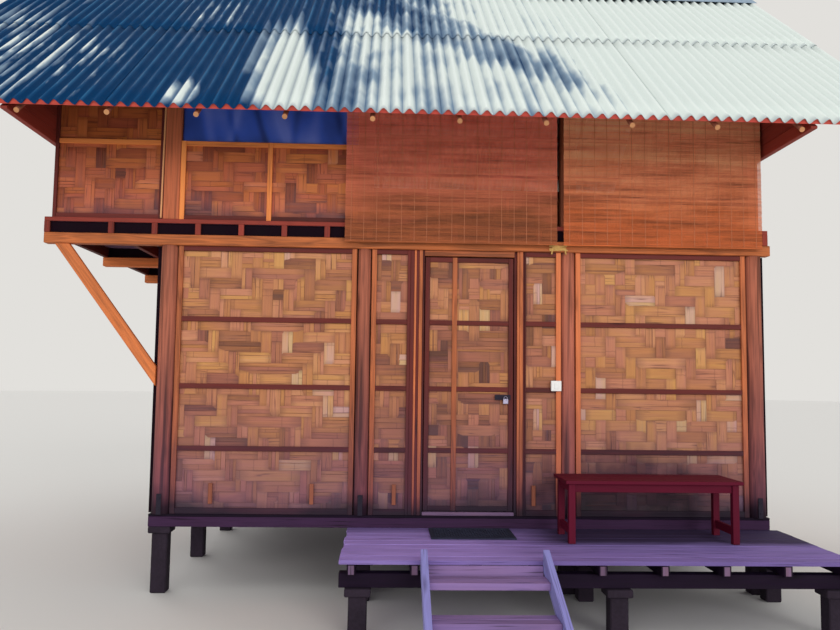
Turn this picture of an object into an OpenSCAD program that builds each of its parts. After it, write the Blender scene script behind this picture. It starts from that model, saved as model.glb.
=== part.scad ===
// Two-storey timber stilt house with woven bamboo walls and a corrugated gable roof.
// X runs along the facade, Y from the facade to the back, Z up from the ground.

/* [Plan] */
// Left front bay, post centre to post centre
left_bay_w = 1610; // [1450:10:1800]
// Door bay, post centre to post centre
door_bay_w = 1710; // [1660:10:1900]
// Right front bay, post centre to post centre
right_bay_w = 1585; // [1550:10:1800]
// Depth of the house, outer wall face to outer wall face
house_d = 4120; // [3800:20:4600]
// Number of post bays from front to back
depth_bays = 3; // [2:1:4]
// How far the upper floor stands out past the left posts
cantilever = 1020; // [900:10:1150]

/* [Levels] */
// Top of the ground floor above the ground
floor_z = 630; // [560:5:800]
// Top of the porch deck above the ground
deck_z = 535; // [500:5:560]
// Height of the window sill rail's top above the upper floor
window_sill_h = 669; // [500:1:800]

/* [Timber] */
// Diameter of the corner logs at the foot
corner_log_d = 150; // [120:2:170]
// Diameter of the other logs at the foot
log_d = 125; // [100:1:140]
// Loss of diameter of a log from foot to top
log_taper = 10; // [0:1:20]
// Height of the sills under the ground floor
sill_h = 80; // [60:2:120]
// Number of joists in each bay of the ground floor
floor_joists_n = 11; // [9:1:13]
// Thickness of the ground floor boards
floor_t = 20; // [18:1:35]
// Width of the sills and the upper beams
beam_w = 90; // [80:2:110]
// Height of the upper beams
beam_h = 88; // [70:2:120]
// Height of the joists of the upper floor
joist_h = 94; // [70:2:120]
// Width of a joist
joist_w = 45; // [35:1:55]
// Spacing of the upper joists
joist_step = 355; // [340:1:356]
// Distance from the upper floor's left edge to its first joist inside the edge
first_joist_in = 518; // [400:2:600]
// How far the upper floor stands out past the right posts
floor_over = 115; // [110:5:130]
// How far the upper beams stand out past the floor on the right
beam_over = 20; // [0:5:40]
// Distance of the upper posts' faces from the floor's edges
post_from_edge = 50; // [40:2:70]
// Thickness of the upper floor boards
upper_floor_t = 34; // [20:1:45]
// Width of the posts in the upper storey's front and back
upper_post_w = 130; // [80:2:140]
// Side of the corner posts of the upper storey
upper_corner_w = 90; // [70:2:100]
// Width of the steel straps on the front logs
strap_w = 40; // [30:1:50]
// Thickness of the steel straps
strap_t = 6; // [4:1:8]
// Height of the steel straps
strap_h = 165; // [120:5:200]
// Side of the concrete piers
pier_w = 125; // [110:5:160]
// Side of the caps on the piers
pier_cap_w = 178; // [165:2:220]
// Height of a pier cap
pier_cap_h = 55; // [40:5:80]

/* [Wall panels] */
// Thickness of the woven bamboo mat
mat_t = 8; // [4:1:12]
// Thickness of the battens outside the mat
batten_t = 22; // [15:1:28]
// Width of the upright battens
stile_w = 40; // [30:1:50]
// Width of the level battens
rail_w = 30; // [24:1:45]
// Height of the bottom rail of a wall
foot_rail_w = 48; // [35:1:60]
// Depth of the studs inside the mat
stud_d = 40; // [30:1:50]
// Height of the lower storey's first level batten above the floor
low_rail_up = 505; // [400:5:600]
// Height of the lower storey's second level batten above the floor
middle_rail_up = 1010; // [900:5:1100]
// Height of the lower storey's third level batten above the floor
high_rail_up = 1560; // [1450:5:1650]

/* [Door] */
// Width of the door leaf
leaf_w = 740; // [680:2:760]
// Thickness of the door leaf
leaf_t = 35; // [30:1:40]
// Left edge of the leaf, from the second log's centre
leaf_inset = 510; // [495:1:540]
// Height of the door leaf
leaf_h = 2095; // [1950:5:2250]
// Distance from the leaf's hinged edge to its mullion
mullion_in = 228; // [180:2:300]
// Width of the jamb that carries the hinges
hinge_jamb_w = 118; // [60:1:130]
// Width of the jamb beside the latch
latch_jamb_w = 85; // [50:1:100]
// Height of the board over the leaf, up to the beam
door_head_h = 48; // [30:1:100]
// Clearance round the leaf
leaf_gap = 7; // [6:1:9]
// Diameter of the hinge barrels
hinge_d = 12; // [10:1:16]
// Diameter of the hinge pins
hinge_pin_d = 6; // [4:0.5:7]
// Clearance between a hinge pin and its bore
hinge_play = 0.1; // [0.05:0.05:0.15]
// Distance from a hinge pin to the outer edge of its plates
hinge_plate_w = 38; // [25:1:45]
// Thickness of a hinge plate
hinge_plate_t = 3; // [2:0.5:4]
// Height of a hinge barrel
hinge_h = 90; // [60:5:120]
// Height of the threshold
threshold_h = 28; // [15:1:40]
// Height of the hasp above the floor
latch_up = 945; // [850:5:1100]
// Length of the hasp
hasp_l = 132; // [100:2:140]
// Height of the hasp
hasp_h = 42; // [30:1:50]
// Side of the padlock's body
padlock_w = 44; // [30:1:50]
// Height of the switch box's underside above the floor
switch_up = 1023; // [900:5:1200]
// Side of the switch box
switch_w = 86; // [70:1:100]

/* [Roof] */
// Slope of the roof
roof_pitch = 38.7; // [36:0.1:42]
// How far the eaves stand out from the walls, measured level
eave_out = 914; // [800:1:1000]
// Height of the eave above the upper floor, at the underside of the sheets
eave_up = 648; // [630:1:730]
// How far the roof stands out past the upper left wall
verge_out = 1120; // [900:10:1250]
// How far the roof stands out past the upper right wall
verge_right = 920; // [800:10:1150]
// Width of one wave of the sheets
wave_w = 95; // [90:1:100]
// Number of waves in one sheet, the last of them under or over the next sheet
sheet_waves = 10; // [8:1:12]
// Depth of one wave
wave_h = 38; // [25:1:45]
// Thickness of a roof sheet
sheet_t = 3; // [2:0.5:5]
// Distance from the eave to the lower edge of the upper course
course_len = 1995; // [1800:5:2100]
// Overlap of the two courses
course_lap = 140; // [100:5:200]
// Diameter of the rafter poles
rafter_d = 50; // [44:1:70]
// Number of rafters over the upper storey
rafters_n = 10; // [9:1:12]
// Height of the roof battens
roof_batten_t = 25; // [20:1:40]
// Width of the roof battens
roof_batten_w = 50; // [40:1:60]
// Number of roof battens on a slope
roof_battens_n = 7; // [6:1:9]
// Distance up the slope from the eave to the first roof batten
first_batten_up = 75; // [40:5:120]
// Height of the wall plates
plate_h = 90; // [70:2:110]
// Width of the wall plates
plate_w = 80; // [60:2:80]
// Depth to which the wall plate is let into the rafters
birdsmouth = 20; // [10:1:25]
// Width of the ridge beam
ridge_w = 60; // [50:2:80]
// Height of the ridge beam
ridge_h = 150; // [120:5:180]
// Length of a wing of the ridge cap
cap_wing = 210; // [150:5:260]
// Height of the gable tie beams
tie_h = 100; // [80:2:120]
// Thickness of the gable tie beams
tie_t = 50; // [40:1:55]
// Height of the ties' underside above the upper floor
tie_rise = 624; // [600:1:680]
// Distance of the ties' ends inside the eaves
tie_in = 30; // [20:2:60]
// Thickness of the boards that close the eaves above the ties
wing_t = 20; // [15:1:30]

/* [Cantilever] */
// Width of the braces under the cantilever
brace_w = 95; // [70:1:120]
// Thickness of the braces
brace_t = 45; // [30:1:50]
// Height of the braces, foot to beam
brace_h = 1160; // [1000:5:1300]
// Distance from a brace's top to the end of the beam
brace_inset = 84; // [50:1:120]

/* [Blinds and tarp] */
// Thickness of a rolled-down reed blind
blind_t = 12; // [8:1:16]
// Height of the blinds' lower edge above the beam's underside
blind_low = 47; // [30:1:80]
// Height of a blind
blind_h = 1235; // [1180:5:1240]
// Height of the rails that carry the blinds
blind_rail_h = 40; // [30:1:60]
// Depth of the rails that carry the blinds
blind_rail_d = 66; // [60:1:90]
// Left edge of the left blind, from the second log's centre
blind_inset = 167; // [150:1:190]
// Gap between the two blinds
blind_gap = 51; // [30:1:60]
// Distance from the left blind's right edge to the third log's centre
blind_mid = 108; // [100:1:115]
// Distance the right blind reaches past the last log's centre
blind_over = 43; // [20:1:60]
// Thickness of the hung tarp with its folds
tarp_t = 14; // [10:1:20]

/* [Porch] */
// Left edge of the deck, from the second log's centre
deck_left = 100; // [80:5:150]
// Right edge of the deck, from the last log's centre
deck_right = 150; // [100:5:200]
// Distance from the deck's front and back edges to its beams
bearer_in = 85; // [80:5:150]
// Distance from the deck's ends to the middle of its end piers
deck_pier_in = 130; // [100:5:200]
// Number of deck boards
deck_boards_n = 9; // [8:1:10]
// Width of a deck board
deck_board_w = 128; // [110:1:140]
// Gap between deck boards
deck_board_gap = 5; // [3:0.5:8]
// Thickness of the deck boards
deck_board_t = 30; // [24:1:38]
// Height of the deck joists
deck_joist_h = 75; // [60:1:90]
// Width of the deck joists
deck_joist_w = 58; // [45:1:70]
// Spacing of the deck joists
deck_joist_step = 422; // [400:1:430]
// Height of the beams under the deck joists
bearer_h = 95; // [80:1:120]
// Clear width between the stair stringers
stair_w = 775; // [700:5:780]
// Thickness of the stringers
stringer_t = 45; // [35:1:50]
// Depth of a stringer, measured upright
stringer_h = 142; // [130:1:160]
// Height of the stringers' top above the deck
stringer_up = 75; // [60:1:100]
// Rise of the stair
rise = 150; // [140:1:160]
// Going of the stair
going = 345; // [320:1:370]
// Top of the first tread below the deck
first_tread_down = 80; // [70:5:120]
// Number of treads
treads_n = 3; // [2:1:3]
// Depth of a tread board, two to a tread
tread_board_w = 91; // [80:1:100]
// Height of the riser board under the deck's edge
riser_h = 70; // [50:5:100]
// Thickness of the riser board
riser_t = 24; // [18:1:30]
// Gap between the two boards of a tread
tread_gap = 8; // [4:1:12]
// Thickness of a tread
tread_t = 45; // [35:1:50]
// Depth of a tread's top below the stringer's upper edge
tread_drop = 35; // [25:1:50]

/* [Bench] */
// Length of the bench top
bench_l = 1340; // [1200:10:1400]
// Depth of the bench top
bench_d = 470; // [400:5:520]
// Height of the bench
bench_h = 465; // [420:5:500]
// Side of a bench leg
bench_leg_w = 50; // [40:1:60]
// Thickness of the bench top
bench_top_t = 26; // [20:1:35]
// Height of the aprons under the bench top
apron_h = 62; // [50:1:80]
// Thickness of the aprons and of the rails between the legs
apron_t = 24; // [18:1:30]
// Height of the low rails, and of their underside above the deck
low_rail_h = 60; // [40:2:90]
// Left end of the bench, from the third log's centre
bench_left = 165; // [120:5:200]
// Front edge of the bench, from the facade
bench_out = 680; // [640:5:760]

/* [Doormat] */
// Width of the doormat
doormat_w = 650; // [500:10:700]
// Depth of the doormat
doormat_d = 415; // [350:5:450]
// Thickness of the doormat
doormat_t = 12; // [8:1:16]
// Distance from the doormat to the house
doormat_in = 95; // [60:5:150]

/* [Hidden] */

// Clearance where one piece rests against another
seat = 0.3;
// A length that reaches past any piece, for cutting planes
far = 12000;
// Distance of the posts' centre lines inside the outer wall faces
post_in = 15;

// Post lines along the facade and from front to back
post_x = [0, left_bay_w, left_bay_w + door_bay_w, left_bay_w + door_bay_w + right_bay_w];
wall_right = post_x[3] + post_in;
post_y = [for (k = [0:depth_bays]) post_in + k * (house_d - 2 * post_in) / depth_bays];

// Levels, with the lower storey as high as the door and its head and threshold
storey_h = threshold_h + leaf_gap + leaf_h + leaf_gap + door_head_h;
beam_z = floor_z + storey_h;
joist_z = beam_z + beam_h;
upper_floor_z = joist_z + joist_h + upper_floor_t;
sill_z = floor_z - floor_t - sill_h;

// Distance the side posts stand out past the gable walls
post_proud = 30;
// The edges of the upper floor, and the outer faces of the gable walls
floor_left = -cantilever;
floor_right = post_x[3] + floor_over;
upper_left = floor_left + post_from_edge + post_proud;
upper_right = floor_right - post_from_edge - post_proud;

// Distance the front posts stand out past the facade
front_proud = 30;
// Outer and inner faces of the upper storey's front posts
upper_front_y = -front_proud;
upper_post_y1 = upper_front_y + beam_w;

// Roof geometry
eave_z = upper_floor_z + eave_up;
ridge_y = house_d / 2;
slope_len = (ridge_y + eave_out) / cos(roof_pitch);
roof_x0 = floor_left + post_from_edge - verge_out;
roof_waves = round((floor_right - post_from_edge + verge_right - roof_x0) / wave_w);
roof_l = roof_waves * wave_w;
roof_x1 = roof_x0 + roof_l;
// Distance of the ends of battens, beams and rafters inside the edges of the roof
batten_end = 10;
// Gap between a gable wall and the first rafter inside it
rafter_in = 2;
// Distance of the upper courses' top edges from the ridge
ridge_gap = 6;
// The rafters' middle line and underside, from the underside of the sheets
rafter_n = -roof_batten_t - rafter_d / 2;
under_rafters = -roof_batten_t - rafter_d;

// Height of a line parallel to the roof, n above the underside of the sheets
function roof_z(y, n) = eave_z + (min(y, house_d - y) + eave_out) * tan(roof_pitch)
                        + n / cos(roof_pitch);

// Distance of the wall plate's outer face behind that of the front posts
plate_in = 10;
// The wall plate, let into the rafters from below, and the top of the ridge beam
plate_y0 = upper_front_y + plate_in;
plate_z1 = roof_z(plate_y0, under_rafters) + birdsmouth;
plate_z0 = plate_z1 - plate_h;
ridge_z1 = roof_z(ridge_y - ridge_w / 2, -roof_batten_t - seat);
tie_z = upper_floor_z + tie_rise;

// Stair line: height of the stringers' upper edge
deck_d = deck_boards_n * (deck_board_w + deck_board_gap) - deck_board_gap;
deck_y1 = post_in - beam_w / 2 - seat;
deck_y0 = deck_y1 - deck_d;
stair_slope = rise / going;
function stringer_z(y) = deck_z + stringer_up - (deck_y0 - y) * stair_slope;
stair_foot_y = deck_y0 - (deck_z + stringer_up) / stair_slope + 2 * stringer_t;

// Every second sheet lies over its neighbours, one sheet and a seat higher
sheet_up = sheet_t + seat;
crest_n = wave_h + sheet_t + sheet_up;

// The middle of the whole house, which stands over the origin
mid_x = (roof_x0 + roof_x1) / 2;
back_eave_y = house_d + eave_out + crest_n * sin(roof_pitch);
mid_y = (stair_foot_y + back_eave_y) / 2;

// Doorway
leaf_x = post_x[1] + leaf_inset;
doorway_x0 = leaf_x - leaf_gap;
doorway_x1 = leaf_x + leaf_w + leaf_gap;
leaf_z = floor_z + threshold_h + leaf_gap;
hinge_y = leaf_t + hinge_d / 2 + 2 * seat;
hinge_x = leaf_x - leaf_gap / 2;

// Blinds
blind_x = [post_x[1] - blind_inset, post_x[2] - blind_mid + blind_gap];
blind_x1 = [post_x[2] - blind_mid, post_x[3] + blind_over];

module site() {
    translate([-mid_x, -mid_y, 0]) children();
}

// Repeats the children on the back slope, or at the back wall
module front_and_back() {
    children();
    at_back() children();
}

module at_back() {
    translate([0, house_d, 0]) mirror([0, 1, 0]) children();
}

// Local X along the eave, Y up the slope, Z out of the roof
module on_slope() {
    translate([0, -eave_out, eave_z]) rotate([roof_pitch, 0, 0]) children();
}

// Turns a panel drawn for the front so that it closes the left or right side
module on_left(x) {
    translate([x, house_d, 0]) rotate([0, 0, -90]) children();
}

module on_right(x) {
    translate([x, 0, 0]) rotate([0, 0, 90]) children();
}

module box_between(a, b) {
    translate(a) cube(b - a);
}

// Extrudes an outline of [y, z] points along X
module along_x(x0, x1, points) {
    translate([x0, 0, 0]) rotate([90, 0, 90]) linear_extrude(x1 - x0) polygon(points);
}

// Extrudes an outline of [x, z] points along Y
module along_y(y0, y1, points) {
    translate([0, y1, 0]) rotate([90, 0, 0]) linear_extrude(y1 - y0) polygon(points);
}

// One layer of battens or studs of a wall panel, from y0 to y1 in depth
module panel_layer(y0, y1, x0, x1, z0, z1, rails, stiles, foot) {
    for (x = concat([x0, x1 - stile_w], stiles))
        box_between([x, y0, z0], [x + stile_w, y1, z1]);
    for (z = concat([z1 - rail_w], rails))
        box_between([x0, y0, z], [x1, y1, z + rail_w]);
    box_between([x0, y0, z0], [x1, y1, z0 + foot]);
}

// A mat nailed between battens outside and studs inside, which may start further in
module framed_panel(x0, x1, z0, z1, rails, stiles = [], foot = rail_w, studs_in = 0) {
    box_between([x0, 0, z0], [x1, mat_t, z1]);
    panel_layer(-batten_t, 0, x0, x1, z0, z1, rails, stiles, foot);
    panel_layer(mat_t, mat_t + stud_d, x0 + studs_in, x1, z0, z1, rails, stiles, foot);
}

lower_rails = [for (up = [low_rail_up, middle_rail_up, high_rail_up]) floor_z + up];

// Edge of a panel beside a log: the log's radius and the seat
function log_r(k, last) = (k == 0 || k == last ? corner_log_d : log_d) / 2 + seat;

module lower_panel(x0, x1, top = beam_z - seat, stiles = []) {
    framed_panel(x0, x1, floor_z + seat, top, lower_rails, stiles, foot_rail_w);
}

module pier(x, y, top) {
    box_between([x - pier_w / 2, y - pier_w / 2, 0], [x + pier_w / 2, y + pier_w / 2, top]);
    box_between([x - pier_cap_w / 2, y - pier_cap_w / 2, top - pier_cap_h],
                [x + pier_cap_w / 2, y + pier_cap_w / 2, top]);
}

// Piers of the outer rows stand with their caps flush with the sills
cap_in = (pier_cap_w - beam_w) / 2;
pier_y = [for (k = [0:depth_bays]) post_y[k] + (k == 0 ? cap_in : k == depth_bays ? -cap_in : 0)];

// Deck levels and the places of its two beams and three pairs of piers
deck_x0 = post_x[1] - deck_left;
deck_x1 = post_x[3] + deck_right;
deck_joist_z = deck_z - deck_board_t - deck_joist_h;
bearer_z = deck_joist_z - seat - bearer_h;
bearer_y = [deck_y0 + bearer_in, deck_y1 - bearer_in - beam_w];
deck_pier_x = [deck_x0 + deck_pier_in, (deck_x0 + deck_x1) / 2 + deck_pier_in, deck_x1 - deck_pier_in];

module piers() {
    color("dimgray") site() {
        for (x = post_x, y = pier_y) pier(x, y, sill_z);
        for (x = deck_pier_x, y = bearer_y) pier(x, y + beam_w / 2, bearer_z);
    }
}

// Sills under the walls with the floor joists between them
module ground_frame() {
    color("saddlebrown") site() {
        for (y = post_y)
            box_between([-pier_cap_w / 2, y - beam_w / 2, sill_z],
                        [post_x[3] + pier_cap_w / 2, y + beam_w / 2, sill_z + sill_h]);
        for (i = [0:floor_joists_n - 1], k = [0:depth_bays - 1])
            let (x = i * (post_x[3] - joist_w) / (floor_joists_n - 1))
            box_between([x, post_y[k] + beam_w / 2 + seat, sill_z],
                        [x + joist_w, post_y[k + 1] - beam_w / 2 - seat, sill_z + sill_h]);
    }
}

module ground_floor() {
    color("sienna") site()
        box_between([-pier_cap_w / 2, post_y[0] - beam_w / 2, floor_z - floor_t],
                    [post_x[3] + pier_cap_w / 2, post_y[depth_bays] + beam_w / 2, floor_z]);
}

module log(x, y, d) {
    translate([x, y, floor_z]) cylinder(h = storey_h - seat, d1 = d, d2 = d - log_taper, $fn = 48);
}

module lower_posts() {
    color("tan") site()
        for (i = [0:3], j = [0:depth_bays]) if (i == 0 || i == 3 || j == 0 || j == depth_bays)
            log(post_x[i], post_y[j],
                (i == 0 || i == 3) && (j == 0 || j == depth_bays) ? corner_log_d : log_d);
}

// Steel straps that tie the front logs to the sill
module post_straps() {
    color("black") site()
        for (i = [0:3]) let (r = (i == 0 || i == 3 ? corner_log_d : log_d) / 2)
            box_between([post_x[i] - strap_w / 2, post_in - r - seat - strap_t, floor_z],
                        [post_x[i] + strap_w / 2, post_in - r - seat, floor_z + strap_h]);
}

module front_wall_left() {
    color("burlywood") site()
        lower_panel(post_x[0] + log_r(0, 3), post_x[1] - log_r(1, 3));
}

module door_side_left() {
    color("burlywood") site()
        lower_panel(post_x[1] + log_r(1, 3), doorway_x0 - hinge_jamb_w - seat);
}

module door_side_right() {
    color("burlywood") site()
        lower_panel(doorway_x1 + latch_jamb_w + seat, post_x[2] - log_r(2, 3));
}

module front_wall_right() {
    color("burlywood") site()
        lower_panel(post_x[2] + log_r(2, 3), post_x[3] - log_r(3, 3));
}

// Panels between the logs of a side wall, up to the boards of the upper floor
module side_panels() {
    for (k = [0:depth_bays - 1])
        lower_panel(post_y[k] + log_r(k, depth_bays), post_y[k + 1] - log_r(k + 1, depth_bays),
                    joist_z + joist_h - seat);
}

module left_wall() {
    color("burlywood") site() on_left(-post_in) side_panels();
}

module right_wall() {
    color("burlywood") site() on_right(wall_right) side_panels();
}

module back_wall() {
    color("burlywood") site() at_back()
        for (k = [0:2]) lower_panel(post_x[k] + log_r(k, 3), post_x[k + 1] - log_r(k + 1, 3));
}

module door_jambs() {
    color("peru") site()
        for (x = [[doorway_x0 - hinge_jamb_w, doorway_x0], [doorway_x1, doorway_x1 + latch_jamb_w]])
            box_between([x[0], -batten_t, floor_z + seat], [x[1], leaf_t, beam_z - seat]);
}

module door_head() {
    color("peru") site()
        box_between([doorway_x0 + seat, -batten_t, leaf_z + leaf_h + leaf_gap],
                    [doorway_x1 - seat, leaf_t, beam_z - seat]);
}

module door_threshold() {
    color("sienna") site()
        box_between([doorway_x0 + seat, -batten_t, floor_z + seat],
                    [doorway_x1 - seat, leaf_t, floor_z + threshold_h]);
}

// A framed leaf with a mullion, its mats let in between the frame's faces
module door_leaf() {
    color("peru") site() {
        for (x = [leaf_x, leaf_x + mullion_in, leaf_x + leaf_w - stile_w])
            box_between([x, 0, leaf_z], [x + stile_w, leaf_t, leaf_z + leaf_h]);
        for (z = concat([leaf_z, leaf_z + leaf_h - rail_w], lower_rails))
            box_between([leaf_x, 0, z], [leaf_x + leaf_w, leaf_t, z + rail_w]);
        box_between([leaf_x, (leaf_t - mat_t) / 2, leaf_z],
                    [leaf_x + leaf_w, (leaf_t + mat_t) / 2, leaf_z + leaf_h]);
    }
}

module at_hinges() {
    for (z = [leaf_z + 2 * hinge_h, leaf_z + leaf_h / 2, leaf_z + leaf_h - 3 * hinge_h])
        translate([hinge_x, 0, z]) children();
}

// A plate at the depth of the hinge's plates, on the side 1 (leaf) or -1 (jamb) of the pin
module hinge_flap(side, x0, x1, y0, z0, z1) {
    box_between([side > 0 ? x0 : -x1, y0, z0], [side > 0 ? x1 : -x0, leaf_t + hinge_plate_t, z1]);
}

// One half of a hinge: a plate and some of the three knuckles
module hinge_half(side, knuckles) {
    knuckle_h = hinge_h / 3;
    plate_x = hinge_d / 2 + seat;
    hinge_flap(side, plate_x, hinge_plate_w, leaf_t, 0, hinge_h);
    for (i = knuckles) let (z0 = i * knuckle_h + seat / 2, z1 = (i + 1) * knuckle_h - seat / 2) {
        translate([0, hinge_y, z0]) cylinder(h = z1 - z0, d = hinge_d, $fn = 32);
        hinge_flap(side, 0, plate_x, leaf_t + 2 * seat, z0, z1);
    }
}

// The leaf's halves, each bored for the pin
module door_hinges() {
    color("dimgray") site() at_hinges() difference() {
        hinge_half(1, [1]);
        translate([0, hinge_y, 0]) cylinder(h = hinge_h, d = hinge_pin_d + 2 * hinge_play, $fn = 32);
    }
}

// The halves on the jamb, each with its pin
module jamb_hinges() {
    color("dimgray") site() at_hinges() {
        hinge_half(-1, [0, 2]);
        translate([0, hinge_y, 0]) cylinder(h = hinge_h, d = hinge_pin_d, $fn = 32);
    }
}

// Hasp plate, staple and a hanging padlock on the outside of the leaf
module door_latch() {
    z0 = floor_z + latch_up;
    x1 = leaf_x + leaf_w - stile_w / 2;
    staple_r = padlock_w / 4;
    lock_x = x1 - hasp_l / 3;
    lock_y = -hinge_plate_t - staple_r;
    lock_z = z0 + hasp_h / 2 - staple_r;
    color("silver") site() {
        box_between([x1 - hasp_l, -hinge_plate_t, z0], [x1, 0, z0 + hasp_h]);
        translate([lock_x, lock_y, z0 + hasp_h / 2]) rotate([90, 0, 90])
            rotate_extrude($fn = 32) translate([staple_r, 0]) circle(d = padlock_w / 8, $fn = 16);
        box_between([lock_x - padlock_w / 2, lock_y - padlock_w / 4, lock_z - padlock_w],
                    [lock_x + padlock_w / 2, lock_y + padlock_w / 4 - seat, lock_z]);
    }
}

module switch_box() {
    x1 = post_x[2] - log_r(2, 3) - seat;
    z0 = floor_z + switch_up;
    color("white") site()
        box_between([x1 - switch_w, -batten_t - switch_w / 3, z0], [x1, -batten_t, z0 + switch_w]);
}

module upper_beams() {
    color("peru") site()
        for (k = [0:depth_bays]) let (y = k * house_d / depth_bays)
            box_between([floor_left, y - beam_w / 2, beam_z],
                        [floor_right + beam_over, y + beam_w / 2, joist_z]);
}

// Braces in the front and back planes, cut level at the beam and plumb at the log
module cantilever_braces() {
    foot_x = -corner_log_d / 2 - seat;
    top_x = floor_left + brace_inset;
    foot_z = beam_z - brace_h;
    angle = atan2(brace_h, foot_x - top_x);
    color("chocolate") site() front_and_back()
        along_y(post_in - brace_t, post_in,
                [[top_x, beam_z], [top_x + brace_w / sin(angle), beam_z],
                 [foot_x, foot_z + brace_w / cos(angle)], [foot_x, foot_z]]);
}

last_joist = floor_right - joist_w;
joist_xs = concat([floor_left],
                  [for (x = floor_left + first_joist_in; x < last_joist - 2 * joist_w;
                        x = x + joist_step) x],
                  [last_joist]);

module upper_joists() {
    color("brown") site()
        for (x = joist_xs)
            box_between([x, -beam_w / 2, joist_z],
                        [x + joist_w, house_d + beam_w / 2, joist_z + joist_h]);
}

module upper_floor() {
    color("maroon") site()
        box_between([floor_left, -beam_w / 2, joist_z + joist_h],
                    [floor_right, house_d + beam_w / 2, upper_floor_z]);
}

// A side post whose top is cut to the slope of the rafters
module gable_post(x0, y) {
    y0 = y - upper_corner_w / 2;
    y1 = y + upper_corner_w / 2;
    along_x(x0, x0 + upper_corner_w,
            [[y0, upper_floor_z], [y1, upper_floor_z],
             [y1, roof_z(y1, under_rafters - seat)], [y0, roof_z(y0, under_rafters - seat)]]);
}

corner_x = [upper_left - post_proud, upper_right + post_proud - upper_corner_w];

module upper_posts() {
    color("peru") site() {
        front_and_back() {
            for (x = corner_x)
                box_between([x, mat_t, upper_floor_z],
                            [x + upper_corner_w, mat_t + upper_corner_w, plate_z0]);
            for (i = [0:2])
                box_between([post_x[i] - upper_post_w / 2, upper_front_y, upper_floor_z],
                            [post_x[i] + upper_post_w / 2, upper_post_y1, plate_z0]);
        }
        for (x = corner_x, k = [1:depth_bays - 1]) gable_post(x, post_y[k]);
    }
}

// Wall plates front and back, and the ridge beam
module roof_beams() {
    color("chocolate") site() {
        front_and_back()
            box_between([roof_x0 + batten_end, plate_y0, plate_z0],
                        [roof_x1 - batten_end, plate_y0 + plate_w, plate_z1]);
        box_between([roof_x0 + batten_end, ridge_y - ridge_w / 2, ridge_z1 - ridge_h],
                    [roof_x1 - batten_end, ridge_y + ridge_w / 2, ridge_z1]);
    }
}

// A tie beam outside the gable posts, with the boards that close the eaves above it
module gable_tie(x0, wing_x) {
    tie_y0 = -eave_out + tie_in;
    top = tie_z + tie_h;
    cut_n = -roof_batten_t - seat;
    tip_y = (top - eave_z - cut_n / cos(roof_pitch)) / tan(roof_pitch) - eave_out;
    along_x(x0, x0 + tie_t,
            [[tie_y0, tie_z], [house_d - tie_y0, tie_z], [house_d - tie_y0, roof_z(tie_y0, cut_n)],
             [house_d - tip_y, top], [tip_y, top], [tie_y0, roof_z(tie_y0, cut_n)]]);
    front_and_back()
        along_x(wing_x, wing_x + wing_t,
                [[tip_y, top], [-batten_t, top], [-batten_t, roof_z(-batten_t, cut_n)]]);
}

module gable_ties() {
    color("brown") site() {
        gable_tie(corner_x[0] - tie_t, corner_x[0] - wing_t);
        gable_tie(corner_x[1] + upper_corner_w, corner_x[1] + upper_corner_w);
    }
}

// Rafters inside the gable walls and between them, and two pairs out to the verges
first_rafter = upper_left + mat_t + rafter_in + rafter_d / 2;
last_rafter = upper_right - mat_t - rafter_in - rafter_d / 2;
verge_rafter = roof_x0 + batten_end + rafter_d / 2;
end_rafter = roof_x1 - batten_end - rafter_d / 2;
rafter_xs = concat([verge_rafter, (verge_rafter + first_rafter) / 2],
                   [for (k = [0:rafters_n - 1])
                       first_rafter + k * (last_rafter - first_rafter) / (rafters_n - 1)],
                   [(last_rafter + end_rafter) / 2, end_rafter]);

module rafters() {
    color("sandybrown") site() front_and_back() difference() {
        for (x = rafter_xs)
            on_slope() translate([x, batten_end, rafter_n]) rotate([-90, 0, 0])
                cylinder(h = slope_len, d = rafter_d, $fn = 24);
        box_between([roof_x0, ridge_y - ridge_w / 2 - seat, 0], [roof_x1, far, far]);
        box_between([roof_x0, plate_y0 - seat, plate_z0],
                    [roof_x1, plate_y0 + plate_w + seat, plate_z1 + seat]);
    }
}

// The last batten lies its own width below the ridge
batten_step = (slope_len - first_batten_up - 2 * roof_batten_w) / (roof_battens_n - 1);

module roof_battens() {
    color("peru") site() front_and_back()
        for (k = [0:roof_battens_n - 1])
            on_slope() translate([roof_x0 + batten_end, first_batten_up + k * batten_step, -roof_batten_t])
                cube([roof_l - 2 * batten_end, roof_batten_w, roof_batten_t - seat]);
}

// Section of a corrugated sheet over the waves from first to last
wave_steps = 8;
function wave(i) = wave_h / 2 * (1 - cos(360 * i / wave_steps));
function sheet_line(first, last, up) = [for (i = [first * wave_steps:last * wave_steps])
    [roof_x0 + i * wave_w / wave_steps, wave(i) + up]];
function reversed(list) = [for (i = [len(list) - 1:-1:0]) list[i]];

// Sheets side by side from s0 to s1 up the slope, each lapping the next by one wave
module course(s0, s1, n) {
    on_slope() translate([0, s1, n]) rotate([90, 0, 0])
        for (first = [0:sheet_waves - 1:roof_waves - 2])
            let (last = min(first + sheet_waves, roof_waves),
                 up = first / (sheet_waves - 1) % 2 * sheet_up)
            linear_extrude(s1 - s0)
                polygon(concat(sheet_line(first, last, up),
                               reversed(sheet_line(first, last, up + sheet_t))));
}

module low_course() {
    course(0, course_len + course_lap, 0);
}

module high_course() {
    course(course_len, slope_len - ridge_gap, 2 * sheet_up);
}

module roof_front_low() {
    color("seagreen") site() low_course();
}

module roof_front_high() {
    color("seagreen") site() high_course();
}

module roof_back_low() {
    color("seagreen") site() at_back() low_course();
}

module roof_back_high() {
    color("seagreen") site() at_back() high_course();
}

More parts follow.
